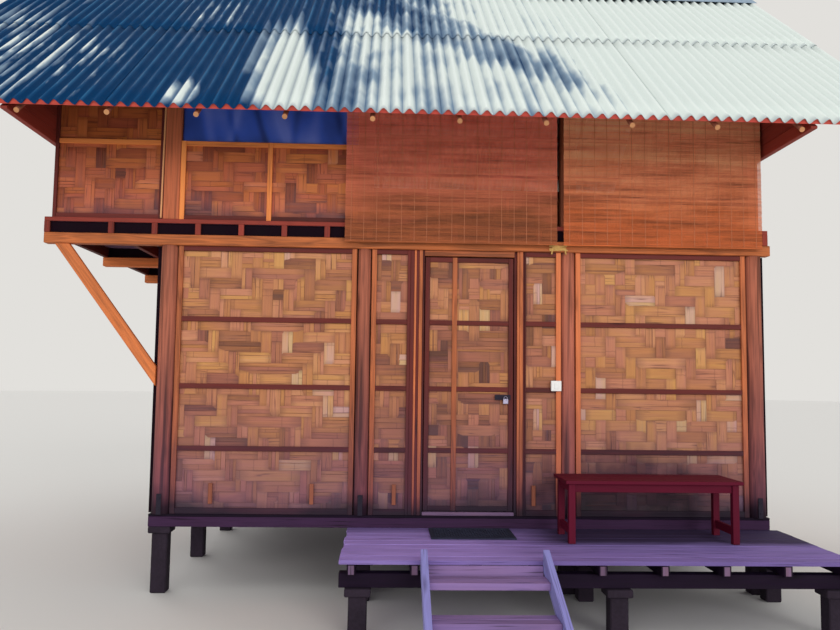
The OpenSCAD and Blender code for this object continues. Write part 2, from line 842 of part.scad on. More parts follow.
// A folded cap that lies on the crests of the upper courses
module ridge_cap() {
    n0 = wave_h + 4 * sheet_up;
    n1 = n0 + sheet_t;
    dy = cap_wing * cos(roof_pitch);
    skew = sheet_t * sin(roof_pitch);
    color("darkslategray") site()
        along_x(roof_x0, roof_x1,
                [[ridge_y, roof_z(ridge_y, n0)],
                 [ridge_y - dy, roof_z(ridge_y - dy, n0)],
                 [ridge_y - dy - skew, roof_z(ridge_y - dy - skew, n1)],
                 [ridge_y, roof_z(ridge_y, n1)],
                 [ridge_y + dy + skew, roof_z(ridge_y + dy + skew, n1)],
                 [ridge_y + dy, roof_z(ridge_y + dy, n0)]]);
}

window_z = upper_floor_z + window_sill_h;

module upper_corner_panel() {
    color("darkgoldenrod") site()
        framed_panel(corner_x[0], post_x[0] - upper_post_w / 2 - seat, upper_floor_z + seat,
                     plate_z0 - seat, [window_z - rail_w], studs_in = upper_corner_w + seat);
}

module upper_window_panel() {
    x0 = post_x[0] + upper_post_w / 2 + seat;
    x1 = post_x[1] - upper_post_w / 2 - seat;
    color("darkgoldenrod") site()
        framed_panel(x0, x1, upper_floor_z + seat, window_z, [], [(x0 + x1) / 2 - stile_w / 2]);
}

// Outline of a gable panel from y0 to y1, cut under the roof at the normal offset n
function gable_outline(y0, y1, n) = concat(
    [[y0, upper_floor_z + seat], [y1, upper_floor_z + seat], [y1, roof_z(y1, n)]],
    y0 < ridge_y && y1 > ridge_y ? [[ridge_y, roof_z(ridge_y, n)]] : [],
    [[y0, roof_z(y0, n)]]);

// One bay of a gable wall, drawn with its outer face at x = 0 and its inside at x > 0
module gable_panel(y0, y1) {
    under_battens = -roof_batten_t - seat;
    gable_rails = [upper_floor_z + window_sill_h - rail_w,
                   upper_floor_z + 2 * window_sill_h - rail_w,
                   upper_floor_z + 3 * window_sill_h - rail_w];
    along_x(0, mat_t, gable_outline(y0, y1, under_battens));
    for (layer = [[-batten_t, 0, under_battens], [mat_t, mat_t + stud_d, under_rafters - seat]])
        intersection() {
            along_x(layer[0], layer[1], gable_outline(y0, y1, layer[2]));
            union() {
                for (y = [y0, (y0 + y1 - stile_w) / 2, y1 - stile_w])
                    box_between([-far, y, 0], [far, y + stile_w, far]);
                for (z = gable_rails)
                    box_between([-far, y0, z], [far, y1, z + rail_w]);
                box_between([-far, y0, 0], [far, y1, upper_floor_z + foot_rail_w]);
                difference() {
                    box_between([-far, y0, 0], [far, y1, far]);
                    along_x(-far - 1, far + 1, gable_outline(y0 - 1, y1 + 1, layer[2] - rail_w));
                }
            }
        }
}

module gable_wall() {
    half = upper_corner_w / 2 + seat;
    difference() {
        for (k = [0:depth_bays - 1])
            gable_panel(k == 0 ? mat_t + upper_corner_w + seat : post_y[k] + half,
                        k == depth_bays - 1 ? house_d - mat_t - upper_corner_w - seat
                                            : post_y[k + 1] - half);
        box_between([-far, ridge_y - ridge_w / 2 - seat, ridge_z1 - ridge_h - seat],
                    [far, ridge_y + ridge_w / 2 + seat, far]);
    }
}

module upper_left_wall() {
    color("darkgoldenrod") site() translate([upper_left, 0, 0]) gable_wall();
}

module upper_right_wall() {
    color("darkgoldenrod") site() translate([upper_right, 0, 0]) mirror([1, 0, 0]) gable_wall();
}

module upper_back_wall() {
    half = upper_post_w / 2 + seat;
    left = [corner_x[0] + upper_corner_w + seat, post_x[0] + half, post_x[1] + half, post_x[2] + half];
    right = [post_x[0] - half, post_x[1] - half, post_x[2] - half, corner_x[1] - seat];
    color("darkgoldenrod") site() at_back()
        for (k = [0:3])
            framed_panel(left[k], right[k], upper_floor_z + seat, plate_z0 - seat,
                         [window_z - rail_w], [(left[k] + right[k] - stile_w) / 2]);
}

// A plastic sheet hung in the window opening
module window_tarp() {
    color("royalblue") site()
        box_between([post_x[0] + upper_post_w / 2 + seat, 0, window_z + seat],
                    [post_x[1] - upper_post_w / 2 - seat, tarp_t, plate_z0 - seat]);
}

blind_z = beam_z + blind_low;
blind_back = upper_front_y - blind_rail_d;

module reed_blind(k) {
    box_between([blind_x[k], blind_back - seat - blind_t, blind_z],
                [blind_x1[k], blind_back - seat, blind_z + blind_h]);
}

module reed_blind_left() {
    color("peru") site() reed_blind(0);
}

module reed_blind_right() {
    color("peru") site() reed_blind(1);
}

// Rails on the front of the upper posts
module blind_rails() {
    color("sienna") site()
        for (k = [0, 1])
            box_between([blind_x[k], blind_back, blind_z + blind_h - blind_rail_h],
                        [blind_x1[k], upper_front_y - seat, blind_z + blind_h]);
}

// Two beams along the deck and the joists on them
module deck_frame() {
    color("saddlebrown") site() {
        for (y = bearer_y)
            box_between([deck_x0, y, bearer_z], [deck_x1, y + beam_w, bearer_z + bearer_h]);
        for (x = [deck_x0 + deck_joist_w : deck_joist_step : deck_x1 - deck_joist_w])
            box_between([x, deck_y0, deck_joist_z],
                        [x + deck_joist_w, deck_y1, deck_z - deck_board_t]);
    }
}

module deck_boards() {
    color("rosybrown") site()
        for (k = [0:deck_boards_n - 1])
            let (y = deck_y0 + k * (deck_board_w + deck_board_gap))
            box_between([deck_x0, y, deck_z - deck_board_t], [deck_x1, y + deck_board_w, deck_z]);
}

stair_x0 = leaf_x + (leaf_w - stair_w) / 2;

module stair_stringers() {
    y1 = deck_y0 - seat;
    color("thistle") site()
        for (x = [stair_x0 - stringer_t, stair_x0 + stair_w])
            along_x(x, x + stringer_t,
                    [[y1, stringer_z(y1)], [stair_foot_y, stringer_z(stair_foot_y)],
                     [stair_foot_y, 0],
                     [deck_y0 - (deck_z + stringer_up - stringer_h) / stair_slope, 0],
                     [y1, stringer_z(y1) - stringer_h]]);
}

// Treads of two boards each, and the riser under the edge of the deck
module stair_treads() {
    color("thistle") site() {
        for (k = [1:treads_n]) {
            top = deck_z - first_tread_down - (k - 1) * rise;
            front = deck_y0 - (deck_z + stringer_up - top - tread_drop) / stair_slope;
            for (y = [front, front + tread_board_w + tread_gap])
                box_between([stair_x0 + seat, y, top - tread_t],
                            [stair_x0 + stair_w - seat, y + tread_board_w, top]);
        }
        box_between([stair_x0 + seat, deck_y0 - riser_t, deck_z - deck_board_t - riser_h],
                    [stair_x0 + stair_w - seat, deck_y0 - seat, deck_z - deck_board_t]);
    }
}

// A top on four legs, with aprons under it and a low rail at each end
module bench() {
    x0 = post_x[2] - bench_left;
    x1 = x0 + bench_l;
    y0 = -bench_out;
    y1 = y0 + bench_d;
    top_z = deck_z + bench_h;
    legs_z = top_z - bench_top_t;
    edge = bench_top_t;
    apron_in = edge + (bench_leg_w - apron_t) / 2;
    color("firebrick") site() {
        box_between([x0, y0, legs_z], [x1, y1, top_z]);
        for (x = [x0 + edge, x1 - edge - bench_leg_w], y = [y0 + edge, y1 - edge - bench_leg_w])
            box_between([x, y, deck_z], [x + bench_leg_w, y + bench_leg_w, legs_z]);
        for (y = [y0 + apron_in, y1 - apron_in - apron_t])
            box_between([x0 + edge, y, legs_z - apron_h], [x1 - edge, y + apron_t, legs_z]);
        for (x = [x0 + apron_in, x1 - apron_in - apron_t]) {
            box_between([x, y0 + edge, legs_z - apron_h], [x + apron_t, y1 - edge, legs_z]);
            box_between([x, y0 + edge, deck_z + low_rail_h],
                        [x + apron_t, y1 - edge, deck_z + 2 * low_rail_h]);
        }
    }
}

module doormat() {
    x0 = leaf_x + (leaf_w - doormat_w) / 2;
    color("darkslategray") site()
        box_between([x0, -doormat_in - doormat_d, deck_z],
                    [x0 + doormat_w, -doormat_in, deck_z + doormat_t]);
}

piers();
ground_frame();
ground_floor();
lower_posts();
post_straps();
front_wall_left();
door_side_left();
door_side_right();
front_wall_right();
left_wall();
right_wall();
back_wall();
door_jambs();
door_head();
door_threshold();
door_leaf();
door_hinges();
jamb_hinges();
door_latch();
switch_box();
upper_beams();
cantilever_braces();
upper_joists();
upper_floor();
upper_posts();
roof_beams();
gable_ties();
rafters();
roof_battens();
roof_front_low();
roof_front_high();
roof_back_low();
roof_back_high();
ridge_cap();
upper_corner_panel();
upper_window_panel();
upper_left_wall();
upper_right_wall();
upper_back_wall();
window_tarp();
reed_blind_left();
reed_blind_right();
blind_rails();
deck_frame();
deck_boards();
stair_stringers();
stair_treads();
bench();
doormat();
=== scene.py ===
"""A stilt house of woven bamboo and timber: the finish of every piece, around its frame."""

import math

import bmesh
import bpy
import numpy as np
from bpy.props import FloatProperty, FloatVectorProperty, IntProperty, PointerProperty
from bpy.types import Operator, Panel, PropertyGroup
from mathutils import Matrix, Vector


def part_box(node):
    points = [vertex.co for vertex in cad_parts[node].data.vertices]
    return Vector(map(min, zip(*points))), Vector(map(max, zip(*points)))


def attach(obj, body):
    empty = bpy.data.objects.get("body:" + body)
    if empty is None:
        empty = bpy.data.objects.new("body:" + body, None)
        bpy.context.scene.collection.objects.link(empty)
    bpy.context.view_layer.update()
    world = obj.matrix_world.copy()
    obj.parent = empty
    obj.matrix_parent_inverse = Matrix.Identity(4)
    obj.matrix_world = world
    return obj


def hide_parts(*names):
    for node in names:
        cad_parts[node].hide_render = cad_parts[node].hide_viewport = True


bl_info = {
    "name": "Woven stilt house",
    "version": (1, 0, 0),
    "blender": (4, 5, 0),
    "location": "View3D > Sidebar > Stilt house",
    "description": "Dresses the frame of a stilt house with timber, woven bamboo, reeds and roof sheets",
    "category": "Object",
}

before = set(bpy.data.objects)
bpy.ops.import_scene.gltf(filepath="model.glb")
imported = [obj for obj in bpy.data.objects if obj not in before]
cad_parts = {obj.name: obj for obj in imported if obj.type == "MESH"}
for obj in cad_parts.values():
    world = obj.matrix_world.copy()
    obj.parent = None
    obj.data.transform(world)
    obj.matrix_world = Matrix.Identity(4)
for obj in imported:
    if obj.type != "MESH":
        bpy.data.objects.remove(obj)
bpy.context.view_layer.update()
# Width of the photograph in pixels, in which the camera's focal length is given
PHOTO_WIDTH = 840
HOUSE = "house"
DOOR = "door"
UP = np.array([0.0, 0.0, 1.0])


# Blanks: small shapes made once with bmesh and repeated as arrays

class Blank:
    """A shape to repeat: unit coordinates, its faces, and the two axes that each corner's UV follows."""

    def __init__(self, shape, round_axis=False):
        shape.verts.index_update()
        shape.normal_update()
        self.co = np.array([v.co for v in shape.verts])
        corners = [(face.normal, v.index) for face in shape.faces for v in face.verts]
        self.corners = np.array([index for _, index in corners])
        self.sizes = np.array([len(face.verts) for face in shape.faces])
        normal = np.array([way for way, _ in corners])
        facing = np.argmax(np.abs(normal), axis=1)
        self.along = np.where(facing == 0, 1, 0)
        self.across = np.where(facing == 2, 1, 2)
        middle = np.arctan2(normal[:, 2], normal[:, 1])
        at = self.co[self.corners]
        angle = (np.arctan2(at[:, 2], at[:, 1]) - middle + math.pi) % (2 * math.pi) - math.pi
        self.turned = np.where(round_axis & (facing != 0), middle + angle, math.nan)
        low, high = self.co.min(axis=0), self.co.max(axis=0)
        self.place = 2 * (self.co - low) / (high - low) - 1
        shape.free()


# Width of a blank's bevels, which each board's own width replaces
BEVEL_CODE = 0.1


def bisect(shape, place, way, **how):
    """Cuts a whole shape by a plane."""
    bmesh.ops.bisect_plane(shape, geom=[*shape.verts, *shape.edges, *shape.faces], plane_co=place,
                           plane_no=way, **how)


def bevel_edges(shape, width, segments=2):
    bmesh.ops.bevel(shape, geom=shape.edges[:], offset=width, affect="EDGES", segments=segments,
                    profile=0.5, material=-1)


def extrude(shape, faces, way):
    """Gives faces a thickness along a vector."""
    made = bmesh.ops.extrude_face_region(shape, geom=faces)["geom"]
    moved = [v for v in made if isinstance(v, bmesh.types.BMVert)]
    bmesh.ops.translate(shape, verts=moved, vec=way)


def board_blank(cuts=0, bevel_segments=1):
    """A cube of half side 1 with cut faces along its grain; its bevels are scaled apart from its sizes."""
    shape = bmesh.new()
    bmesh.ops.create_cube(shape, size=2)
    if bevel_segments:
        bevel_edges(shape, BEVEL_CODE, bevel_segments)
    for k in range(cuts):
        bisect(shape, ((1 - BEVEL_CODE) * (2 * (k + 1) / (cuts + 1) - 1), 0, 0), (1, 0, 0))
    return Blank(shape)


def pole_blank(sides, cuts):
    """A round bar of radius 1 along X, from -1 to 1, with rings along it."""
    shape = bmesh.new()
    bmesh.ops.create_cone(shape, cap_ends=True, cap_tris=False, segments=sides,
                          radius1=1, radius2=1, depth=2)
    bmesh.ops.rotate(shape, verts=shape.verts[:], matrix=Matrix.Rotation(math.pi / 2, 3, "Y"))
    for k in range(cuts):
        bisect(shape, (2 * (k + 1) / (cuts + 1) - 1, 0, 0), (1, 0, 0))
    return Blank(shape, round_axis=True)


def sheet_blank(waves, points, rows, thickness):
    """A corrugated sheet's unit form: X in waves, Y from 0 to 1 up the slope, Z from 0 to 1."""
    shape = bmesh.new()
    bmesh.ops.create_grid(shape, x_segments=waves * points, y_segments=rows, size=0.5)
    bmesh.ops.translate(shape, verts=shape.verts[:], vec=(0.5, 0.5, 0))
    for v in shape.verts:
        v.co.x *= waves
        v.co.z = wave_height(v.co.x)
    extrude(shape, shape.faces[:], (0, 0, thickness))
    bmesh.ops.recalc_face_normals(shape, faces=shape.faces[:])
    return Blank(shape)


def wave_height(waves):
    """Height of a wave, from 0 to 1, at a place counted in waves."""
    return 0.5 - 0.5 * math.cos(2 * math.pi * waves)


PLATE = board_blank(cuts=4, bevel_segments=0)
STITCH = board_blank(bevel_segments=0)
BOARD = board_blank()
SOFT_BOARD = board_blank(bevel_segments=2)
ROUND_BOARD = board_blank(bevel_segments=3)
LONG_BOARD = board_blank(cuts=7)
WORN_BOARD = board_blank(cuts=15, bevel_segments=2)
POLE = pole_blank(20, 13)
RAFTER = pole_blank(12, 11)
POLE_END = pole_blank(12, 0)
THIN_POLE = pole_blank(10, 5)
REED = pole_blank(5, 5)
SCREW = pole_blank(8, 0)
BOLT = pole_blank(6, 0)


class Parts:
    """Copies of blanks gathered into one piece, each with its own tone, and grain along its length."""

    def __init__(self, seed):
        self.rng = np.random.default_rng(seed)
        self.co, self.corners, self.sizes, self.uv, self.shade = [], [], [], [], []
        self.count = 0

    def put(self, blank, local, centres, axes, tones):
        """Adds copies with local coordinates; axes has a row each for grain, width and depth."""
        copies, points = local.shape[:2]
        centres, axes = np.asarray(centres, float), np.asarray(axes, float).copy()
        axes[:, 1] *= np.sign(np.linalg.det(axes))[:, None]
        world = centres[:, None] + np.einsum("kni,kij->knj", local, axes)
        first = self.count + points * np.arange(copies)
        u = local[:, blank.corners, blank.along]
        v = local[:, blank.corners, blank.across]
        radius = np.abs(local[:, :, 1:]).max(axis=(1, 2))
        rolled = radius[:, None] * np.nan_to_num(blank.turned)[None]
        v = np.where(np.isnan(blank.turned)[None], v, rolled)
        shift = self.rng.uniform(0, 20, (copies, 1, 2))
        shade = np.empty((copies, points, 3))
        shade[:, :, 0] = np.asarray(tones)[:, None]
        shade[:, :, 1:] = blank.place[None, :, :2]
        self.uv.append((np.stack([u, v], axis=2) + shift).reshape(-1, 2))
        self.co.append(world.reshape(-1, 3))
        self.corners.append((first[:, None] + blank.corners[None]).ravel())
        self.sizes.append(np.tile(blank.sizes, copies))
        self.shade.append(shade.reshape(-1, 3))
        self.count += copies * points

    def boards(self, blank, centres, axes, halves, bevel=0.002, warp=0.0):
        """Adds boards of the given half sizes, with bevels of one width and a slight bow."""
        halves = np.asarray(halves, float)
        c = blank.co[None]
        inset = (1 - np.abs(c)) / BEVEL_CODE
        bevels = np.minimum(bevel, halves.min(axis=1) * 0.4)[:, None, None]
        half = halves[:, None, :]
        outer = np.sign(c) * (half - inset * bevels)
        inner = c / (1 - BEVEL_CODE) * (half - bevels)
        local = np.where(inset <= 1 + 1e-6, outer, inner)
        if warp:
            local = local + self.bow(local, warp)
        self.put(blank, local, centres, axes, self.rng.uniform(0, 1, len(halves)))

    def bow(self, local, amount):
        """Slow bends of each copy along its grain."""
        bend = np.zeros_like(local)
        for axis in (1, 2):
            for wave in (1.3, 3.1):
                phase = self.rng.uniform(0, 2 * math.pi, (len(local), 1))
                size = self.rng.uniform(0.3, 1.0, (len(local), 1)) * amount / wave
                bend[:, :, axis] += size * np.sin(local[:, :, 0] * wave * 2 + phase)
        return bend

    def poles(self, blank, starts, ends, radii, taper=0.0, lumps=0.0, tones=None):
        """Adds round poles from starts to ends, slimmer towards their ends and slightly uneven."""
        starts, ends = np.asarray(starts, float), np.asarray(ends, float)
        radii = np.asarray(radii, float)
        length = np.linalg.norm(ends - starts, axis=1)
        grain = (ends - starts) / length[:, None]
        side = np.where(np.abs(grain[:, 2:3]) > 0.9, np.array([[1.0, 0, 0]]), UP[None])
        across = np.cross(side, grain)
        across /= np.linalg.norm(across, axis=1)[:, None]
        axes = np.stack([grain, across, np.cross(grain, across)], axis=1)
        c = blank.co[None]
        local = c * np.stack([length / 2, radii, radii], axis=1)[:, None]
        slim = 1 - taper * (c[:, :, 0] + 1) / 2
        angle = np.arctan2(c[:, :, 2], c[:, :, 1])
        bump = np.zeros(local.shape[:2])
        for turns, wave in ((2, 2.1), (3, 4.7), (1, 7.9)):
            phase = self.rng.uniform(0, 2 * math.pi, (len(radii), 2))
            bump += np.sin(turns * angle + phase[:, :1]) * np.sin(local[:, :, 0] * wave + phase[:, 1:])
        local[:, :, 1:] *= (slim * (1 - lumps * (1 - bump / 3)))[:, :, None]
        if tones is None:
            tones = self.rng.uniform(0, 1, len(radii))
        self.put(blank, local, (starts + ends) / 2, axes, tones)

    def pole(self, blank, start, end, radius, **how):
        """Adds one round pole."""
        self.poles(blank, [start], [end], [radius], **how)

    def make(self, name, look, slot, stands_for=(), body=HOUSE, smooth=False):
        """Turns what was gathered into one piece that rides on a body."""
        mesh = bpy.data.meshes.new(name)
        co, corners, sizes, uv, shade = (np.concatenate(rows) for rows in (
            self.co, self.corners, self.sizes, self.uv, self.shade))
        mesh.vertices.add(len(co))
        mesh.vertices.foreach_set("co", co.ravel().astype(np.float32))
        mesh.loops.add(len(corners))
        mesh.loops.foreach_set("vertex_index", corners.astype(np.int32))
        mesh.polygons.add(len(sizes))
        mesh.polygons.foreach_set("loop_start", (np.cumsum(sizes) - sizes).astype(np.int32))
        mesh.update(calc_edges=True)
        layer = mesh.uv_layers.new(name="grain")
        layer.data.foreach_set("uv", uv.ravel().astype(np.float32))
        set_shade(mesh, shade)
        return dress(bpy.data.objects.new(name, mesh), look, stands_for, body, smooth)


def set_shade(mesh, values):
    """Keeps each point's tone and its place along and across its copy, which the finishes read."""
    shade = mesh.attributes.new("shade", "FLOAT_VECTOR", "POINT")
    shade.data.foreach_set("vector", np.ravel(values).astype(np.float32))


def dress(piece, look, stands_for=(), body=HOUSE, smooth=False):
    """Gives a piece its finish and shading, sets the body it rides on, and hides the frame's nodes it
    stands for.
    """
    bpy.context.scene.collection.objects.link(piece)
    piece.data.materials.append(finish(look))
    piece.data.polygons.foreach_set("use_smooth", [smooth] * len(piece.data.polygons))
    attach(piece, body)
    if stands_for:
        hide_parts(*stands_for)
    return piece


def coat(node, look):
    """Gives a node that stays as the frame has it its finish."""
    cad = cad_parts[node].data
    cad.materials.clear()
    cad.materials.append(finish(look))


def from_bmesh(name, shape):
    """A new mesh object from a bmesh whose faces are made to point outwards."""
    bmesh.ops.recalc_face_normals(shape, faces=shape.faces[:])
    mesh = bpy.data.meshes.new(name)
    shape.to_mesh(mesh)
    shape.free()
    return bpy.data.objects.new(name, mesh)


def bars(name, profiles, way, grain):
    """Bevelled bars from flat outlines given as (corners, thickness), which extend along an axis."""
    shape = bmesh.new()
    for corners, thick in profiles:
        face = shape.faces.new([shape.verts.new(corner) for corner in corners])
        extrude(shape, [face], Vector(way) * thick)
    bmesh.ops.recalc_face_normals(shape, faces=shape.faces[:])
    bevel_edges(shape, 0.004)
    piece = from_bmesh(name, shape)
    grain_map(piece, grain)
    return piece


def grain_map(piece, grain):
    """Gives a single solid the grain map and shade that boards have, with its grain along a vector."""
    mesh = piece.data
    grain = Vector(grain).normalized()
    layer = mesh.uv_layers.new(name="grain")
    for face in mesh.polygons:
        across = face.normal.cross(grain)
        across = across.normalized() if across.length > 0.1 else grain.orthogonal().normalized()
        for loop in face.loop_indices:
            at = mesh.vertices[mesh.loops[loop].vertex_index].co
            layer.data[loop].uv = (at.dot(grain), at.dot(across))
    set_shade(mesh, np.tile((0.5, 0.0, 0.0), len(mesh.vertices)))


# Where things are: boxes of the frame's separate solids, and the roof's slope

def solids(node):
    """Lowest and highest corners of a node's separate solids, sorted by x, then y, then z."""
    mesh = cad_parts[node].data
    co = np.empty(len(mesh.vertices) * 3, np.float32)
    mesh.vertices.foreach_get("co", co)
    co = co.reshape(-1, 3)
    corners = np.empty(len(mesh.loops), np.int32)
    mesh.loops.foreach_get("vertex_index", corners)
    _, merged = np.unique(np.round(co, 5), axis=0, return_inverse=True)
    merged = merged.ravel()
    triangles = merged[corners].reshape(-1, 3)
    label = np.arange(merged.max() + 1)
    while True:
        lowest = label.copy()
        np.minimum.at(lowest, triangles.ravel(), np.repeat(label[triangles].min(axis=1), 3))
        lowest = lowest[lowest]
        if (lowest == label).all():
            break
        label = lowest
    found = []
    for one in np.unique(label):
        points = co[label[merged] == one]
        found.append((points.min(axis=0).astype(float), points.max(axis=0).astype(float)))
    return sorted(found, key=lambda box: tuple(np.round(box[0], 3)))


def box_of(node):
    """A node's lowest and highest corner as arrays."""
    return tuple(np.array(corner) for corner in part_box(node))


def sizes():
    """The sizes that the sidebar shows."""
    return bpy.context.scene.stilt_house_sizes


def colours():
    """The colours that the sidebar shows."""
    return bpy.context.scene.stilt_house_colours


class Slope:
    """One side of the roof: its eave line, the way up the slope and the way out of it."""

    def __init__(self, front):
        pitch = sizes().roof_pitch
        lo, hi = box_of("roof_front_low" if front else "roof_back_low")
        crest = sizes().wave_h + 2 * sizes().sheet_t + sizes().seat
        self.turn = turn = 1 if front else -1
        edge = lo[1] + crest * math.sin(pitch) if front else hi[1] - crest * math.sin(pitch)
        self.origin = np.array([0, edge, lo[2]])
        self.up = np.array([0, turn * math.cos(pitch), math.sin(pitch)])
        self.out = np.array([0, -turn * math.sin(pitch), math.cos(pitch)])
        self.x0, self.x1 = lo[0], hi[0]
        ridge_y = np.mean([box_of("roof_beams")[0][1], box_of("roof_beams")[1][1]])
        self.length = abs(ridge_y - edge) / math.cos(pitch)

    def at(self, x, s, n):
        """World place of a point s up the slope and n above the sheets' underside."""
        return self.origin + np.array([x, 0, 0]) + s * self.up + n * self.out

    def up_to(self, y):
        """How far up the slope its line reaches a depth y."""
        return (y - self.origin[1]) / self.up[1]


# Finishes: procedural materials

class Nodes:
    """A node tree being put together, with short ways to add its nodes."""

    def __init__(self, tree):
        self.tree = tree

    def node(self, kind, inputs=(), **settings):
        """Adds a node, sets its properties, and fills its inputs by name or place."""
        made = self.tree.nodes.new("ShaderNode" + kind)
        for key, value in settings.items():
            setattr(made, key, value)
        for key, value in dict(inputs).items():
            self.fill(made.inputs[key], value)
        return made

    def fill(self, socket, value):
        """Links an output to a socket, or sets the socket to a colour or a number."""
        if isinstance(value, bpy.types.NodeSocket):
            self.tree.links.new(value, socket)
        elif socket.type == "RGBA":
            socket.default_value = (*value[:3], 1)
        else:
            socket.default_value = value

    def calc(self, operation, a, b=0.0, c=0.0):
        return self.node("Math", {0: a, 1: b, 2: c}, operation=operation).outputs[0]

    def times(self, a, b):
        return self.calc("MULTIPLY", a, b)

    def less(self, a, b):
        return self.calc("SUBTRACT", a, b)

    def most(self, a, b):
        return self.calc("MAXIMUM", a, b)

    def size(self, value):
        return self.calc("ABSOLUTE", value)

    def total(self, *terms):
        """The sum of values, each times its factor."""
        whole = 0.0
        for value, factor in terms:
            whole = self.calc("MULTIPLY_ADD", value, factor, whole)
        return whole


class Finish(Nodes):
    """A material being put together."""

    def __init__(self, name, roughness, metallic=0.0, specular=0.5):
        self.material = bpy.data.materials.new(name)
        self.material.use_nodes = True
        super().__init__(self.material.node_tree)
        self.shader = self.tree.nodes["Principled BSDF"]
        for socket, value in (("Roughness", roughness), ("Metallic", metallic),
                              ("Specular IOR Level", specular)):
            self.shader.inputs[socket].default_value = value

    def grain(self, along, across, lift=0.0):
        """The piece's own grain map, stretched: metres along and across turned to texture steps."""
        uv = self.node("UVMap", uv_map="grain").outputs["UV"]
        return self.node("Mapping", {"Vector": uv, "Scale": (along, across, 1),
                                     "Location": (0, 0, lift)}).outputs["Vector"]

    def place(self, *scale):
        """Object coordinates, stretched."""
        place = self.node("TexCoord").outputs["Object"]
        if not scale:
            return place
        return self.node("Mapping", {"Vector": place, "Scale": scale}).outputs["Vector"]

    def split(self, vector):
        made = self.node("SeparateXYZ", {"Vector": vector})
        return [made.outputs[k] for k in "XYZ"]

    def shade(self):
        """The copy's tone, and the point's place along and across it, from -1 to 1."""
        return self.split(self.node("Attribute", attribute_name="shade").outputs["Vector"])

    def height(self):
        """Height of the point above the ground."""
        return self.split(self.place())[2]

    def noise(self, vector, detail=2, roughness=0.55, distortion=0.0):
        return self.node("TexNoise", {"Vector": vector, "Scale": 1.0, "Detail": detail,
                                      "Roughness": roughness, "Distortion": distortion}).outputs["Fac"]

    def fibres(self, along, across, lift=0.0, **how):
        """Noise drawn out along the piece's grain; lift takes another layer of it."""
        return self.noise(self.grain(along, across, lift), **how)

    def cloud(self, x, y, z, **how):
        """Noise in space, with steps to the metre along each axis."""
        return self.noise(self.place(x, y, z), **how)

    def chance(self, x, y):
        """An even random value for each whole pair of numbers."""
        cell = self.node("CombineXYZ", {0: x, 1: y, 2: 0.5}).outputs[0]
        return self.node("TexWhiteNoise", {"Vector": cell}, noise_dimensions="3D").outputs["Value"]

    def spread(self, value, low, high, to_low=0.0, to_high=1.0):
        """Maps a value from one span to another, held at the ends."""
        return self.node("MapRange", {"Value": value, "From Min": low, "From Max": high,
                                      "To Min": to_low, "To Max": to_high}).outputs["Result"]

    def mix(self, factor, a, b, blend="MIX"):
        made = self.node("Mix", data_type="RGBA", blend_type=blend)
        for socket, value in ((made.inputs["Factor"], factor), (made.inputs[6], a),
                              (made.inputs[7], b)):
            self.fill(socket, value)
        return made.outputs[2]

    def ramp(self, factor, *stops):
        """A colour ramp through (place, colour) stops."""
        made = self.node("ValToRGB", {"Fac": factor})
        band = made.color_ramp
        while len(band.elements) < len(stops):
            band.elements.new(0.5)
        for element, (at, colour) in zip(band.elements, stops):
            element.position = at
            element.color = (*colour, 1)
        return made.outputs["Color"]

    def oval(self, x, z, wide, tall, lean, wander):
        """Nearness, from 0 to 1, to a leaning oval as seen from the front, with a wandering rim."""
        there = self.node("Mapping", {"Vector": self.place(), "Location": (x, 0, z),
                                      "Rotation": (0, math.radians(lean), 0),
                                      "Scale": (wide, 100, tall)}, vector_type="TEXTURE")
        away = self.node("VectorMath", {0: there.outputs["Vector"]}, operation="LENGTH")
        return self.spread(self.total((away.outputs["Value"], 1.0), (wander, 1.2)), 2.05, 1.25)

    def dirty_shaded_foot(self, shown, foot, shade_lilac):
        """Darkens a wall's foot with dirt and painted shade, given as lowest height, highest height and
        amount, and greys it.
        """
        patch = self.cloud(1.4, 1.4, 1.8, detail=3)
        height = self.total((self.height(), 1.0), (patch, 0.5))
        low, high, amount = foot
        near = self.calc("POWER", self.spread(height, low + 0.25, high + 0.25, 1.0, 0.0), 1.5)
        c = colours()
        shown = self.mix(self.times(near, amount), shown, c.foot_dirt_and_shade, "MULTIPLY")
        # Lilac greying towards the foot: painted shade
        shown = self.mix(self.times(near, shade_lilac), shown, c.weathered)
        # A dark band just above the floor: dirt and painted shade
        return self.mix(self.spread(height, low + 0.28, low + 0.46, 0.85, 0.0), shown, c.rim_timber)

    def done(self, colour, height=None, depth=0.001, strength=1.0, roughness=None):
        """Sets the material's colour, relief and roughness, and returns it."""
        self.fill(self.shader.inputs["Base Color"], colour)
        if height is not None:
            bump = self.node("Bump", {"Height": height, "Distance": depth, "Strength": strength})
            self.fill(self.shader.inputs["Normal"], bump.outputs["Normal"])
        if roughness is not None:
            self.fill(self.shader.inputs["Roughness"], roughness)
        return self.material


def tint(colour, factor):
    """A colour made darker or lighter by a factor."""
    return tuple(min(1.0, c * factor) for c in colour)


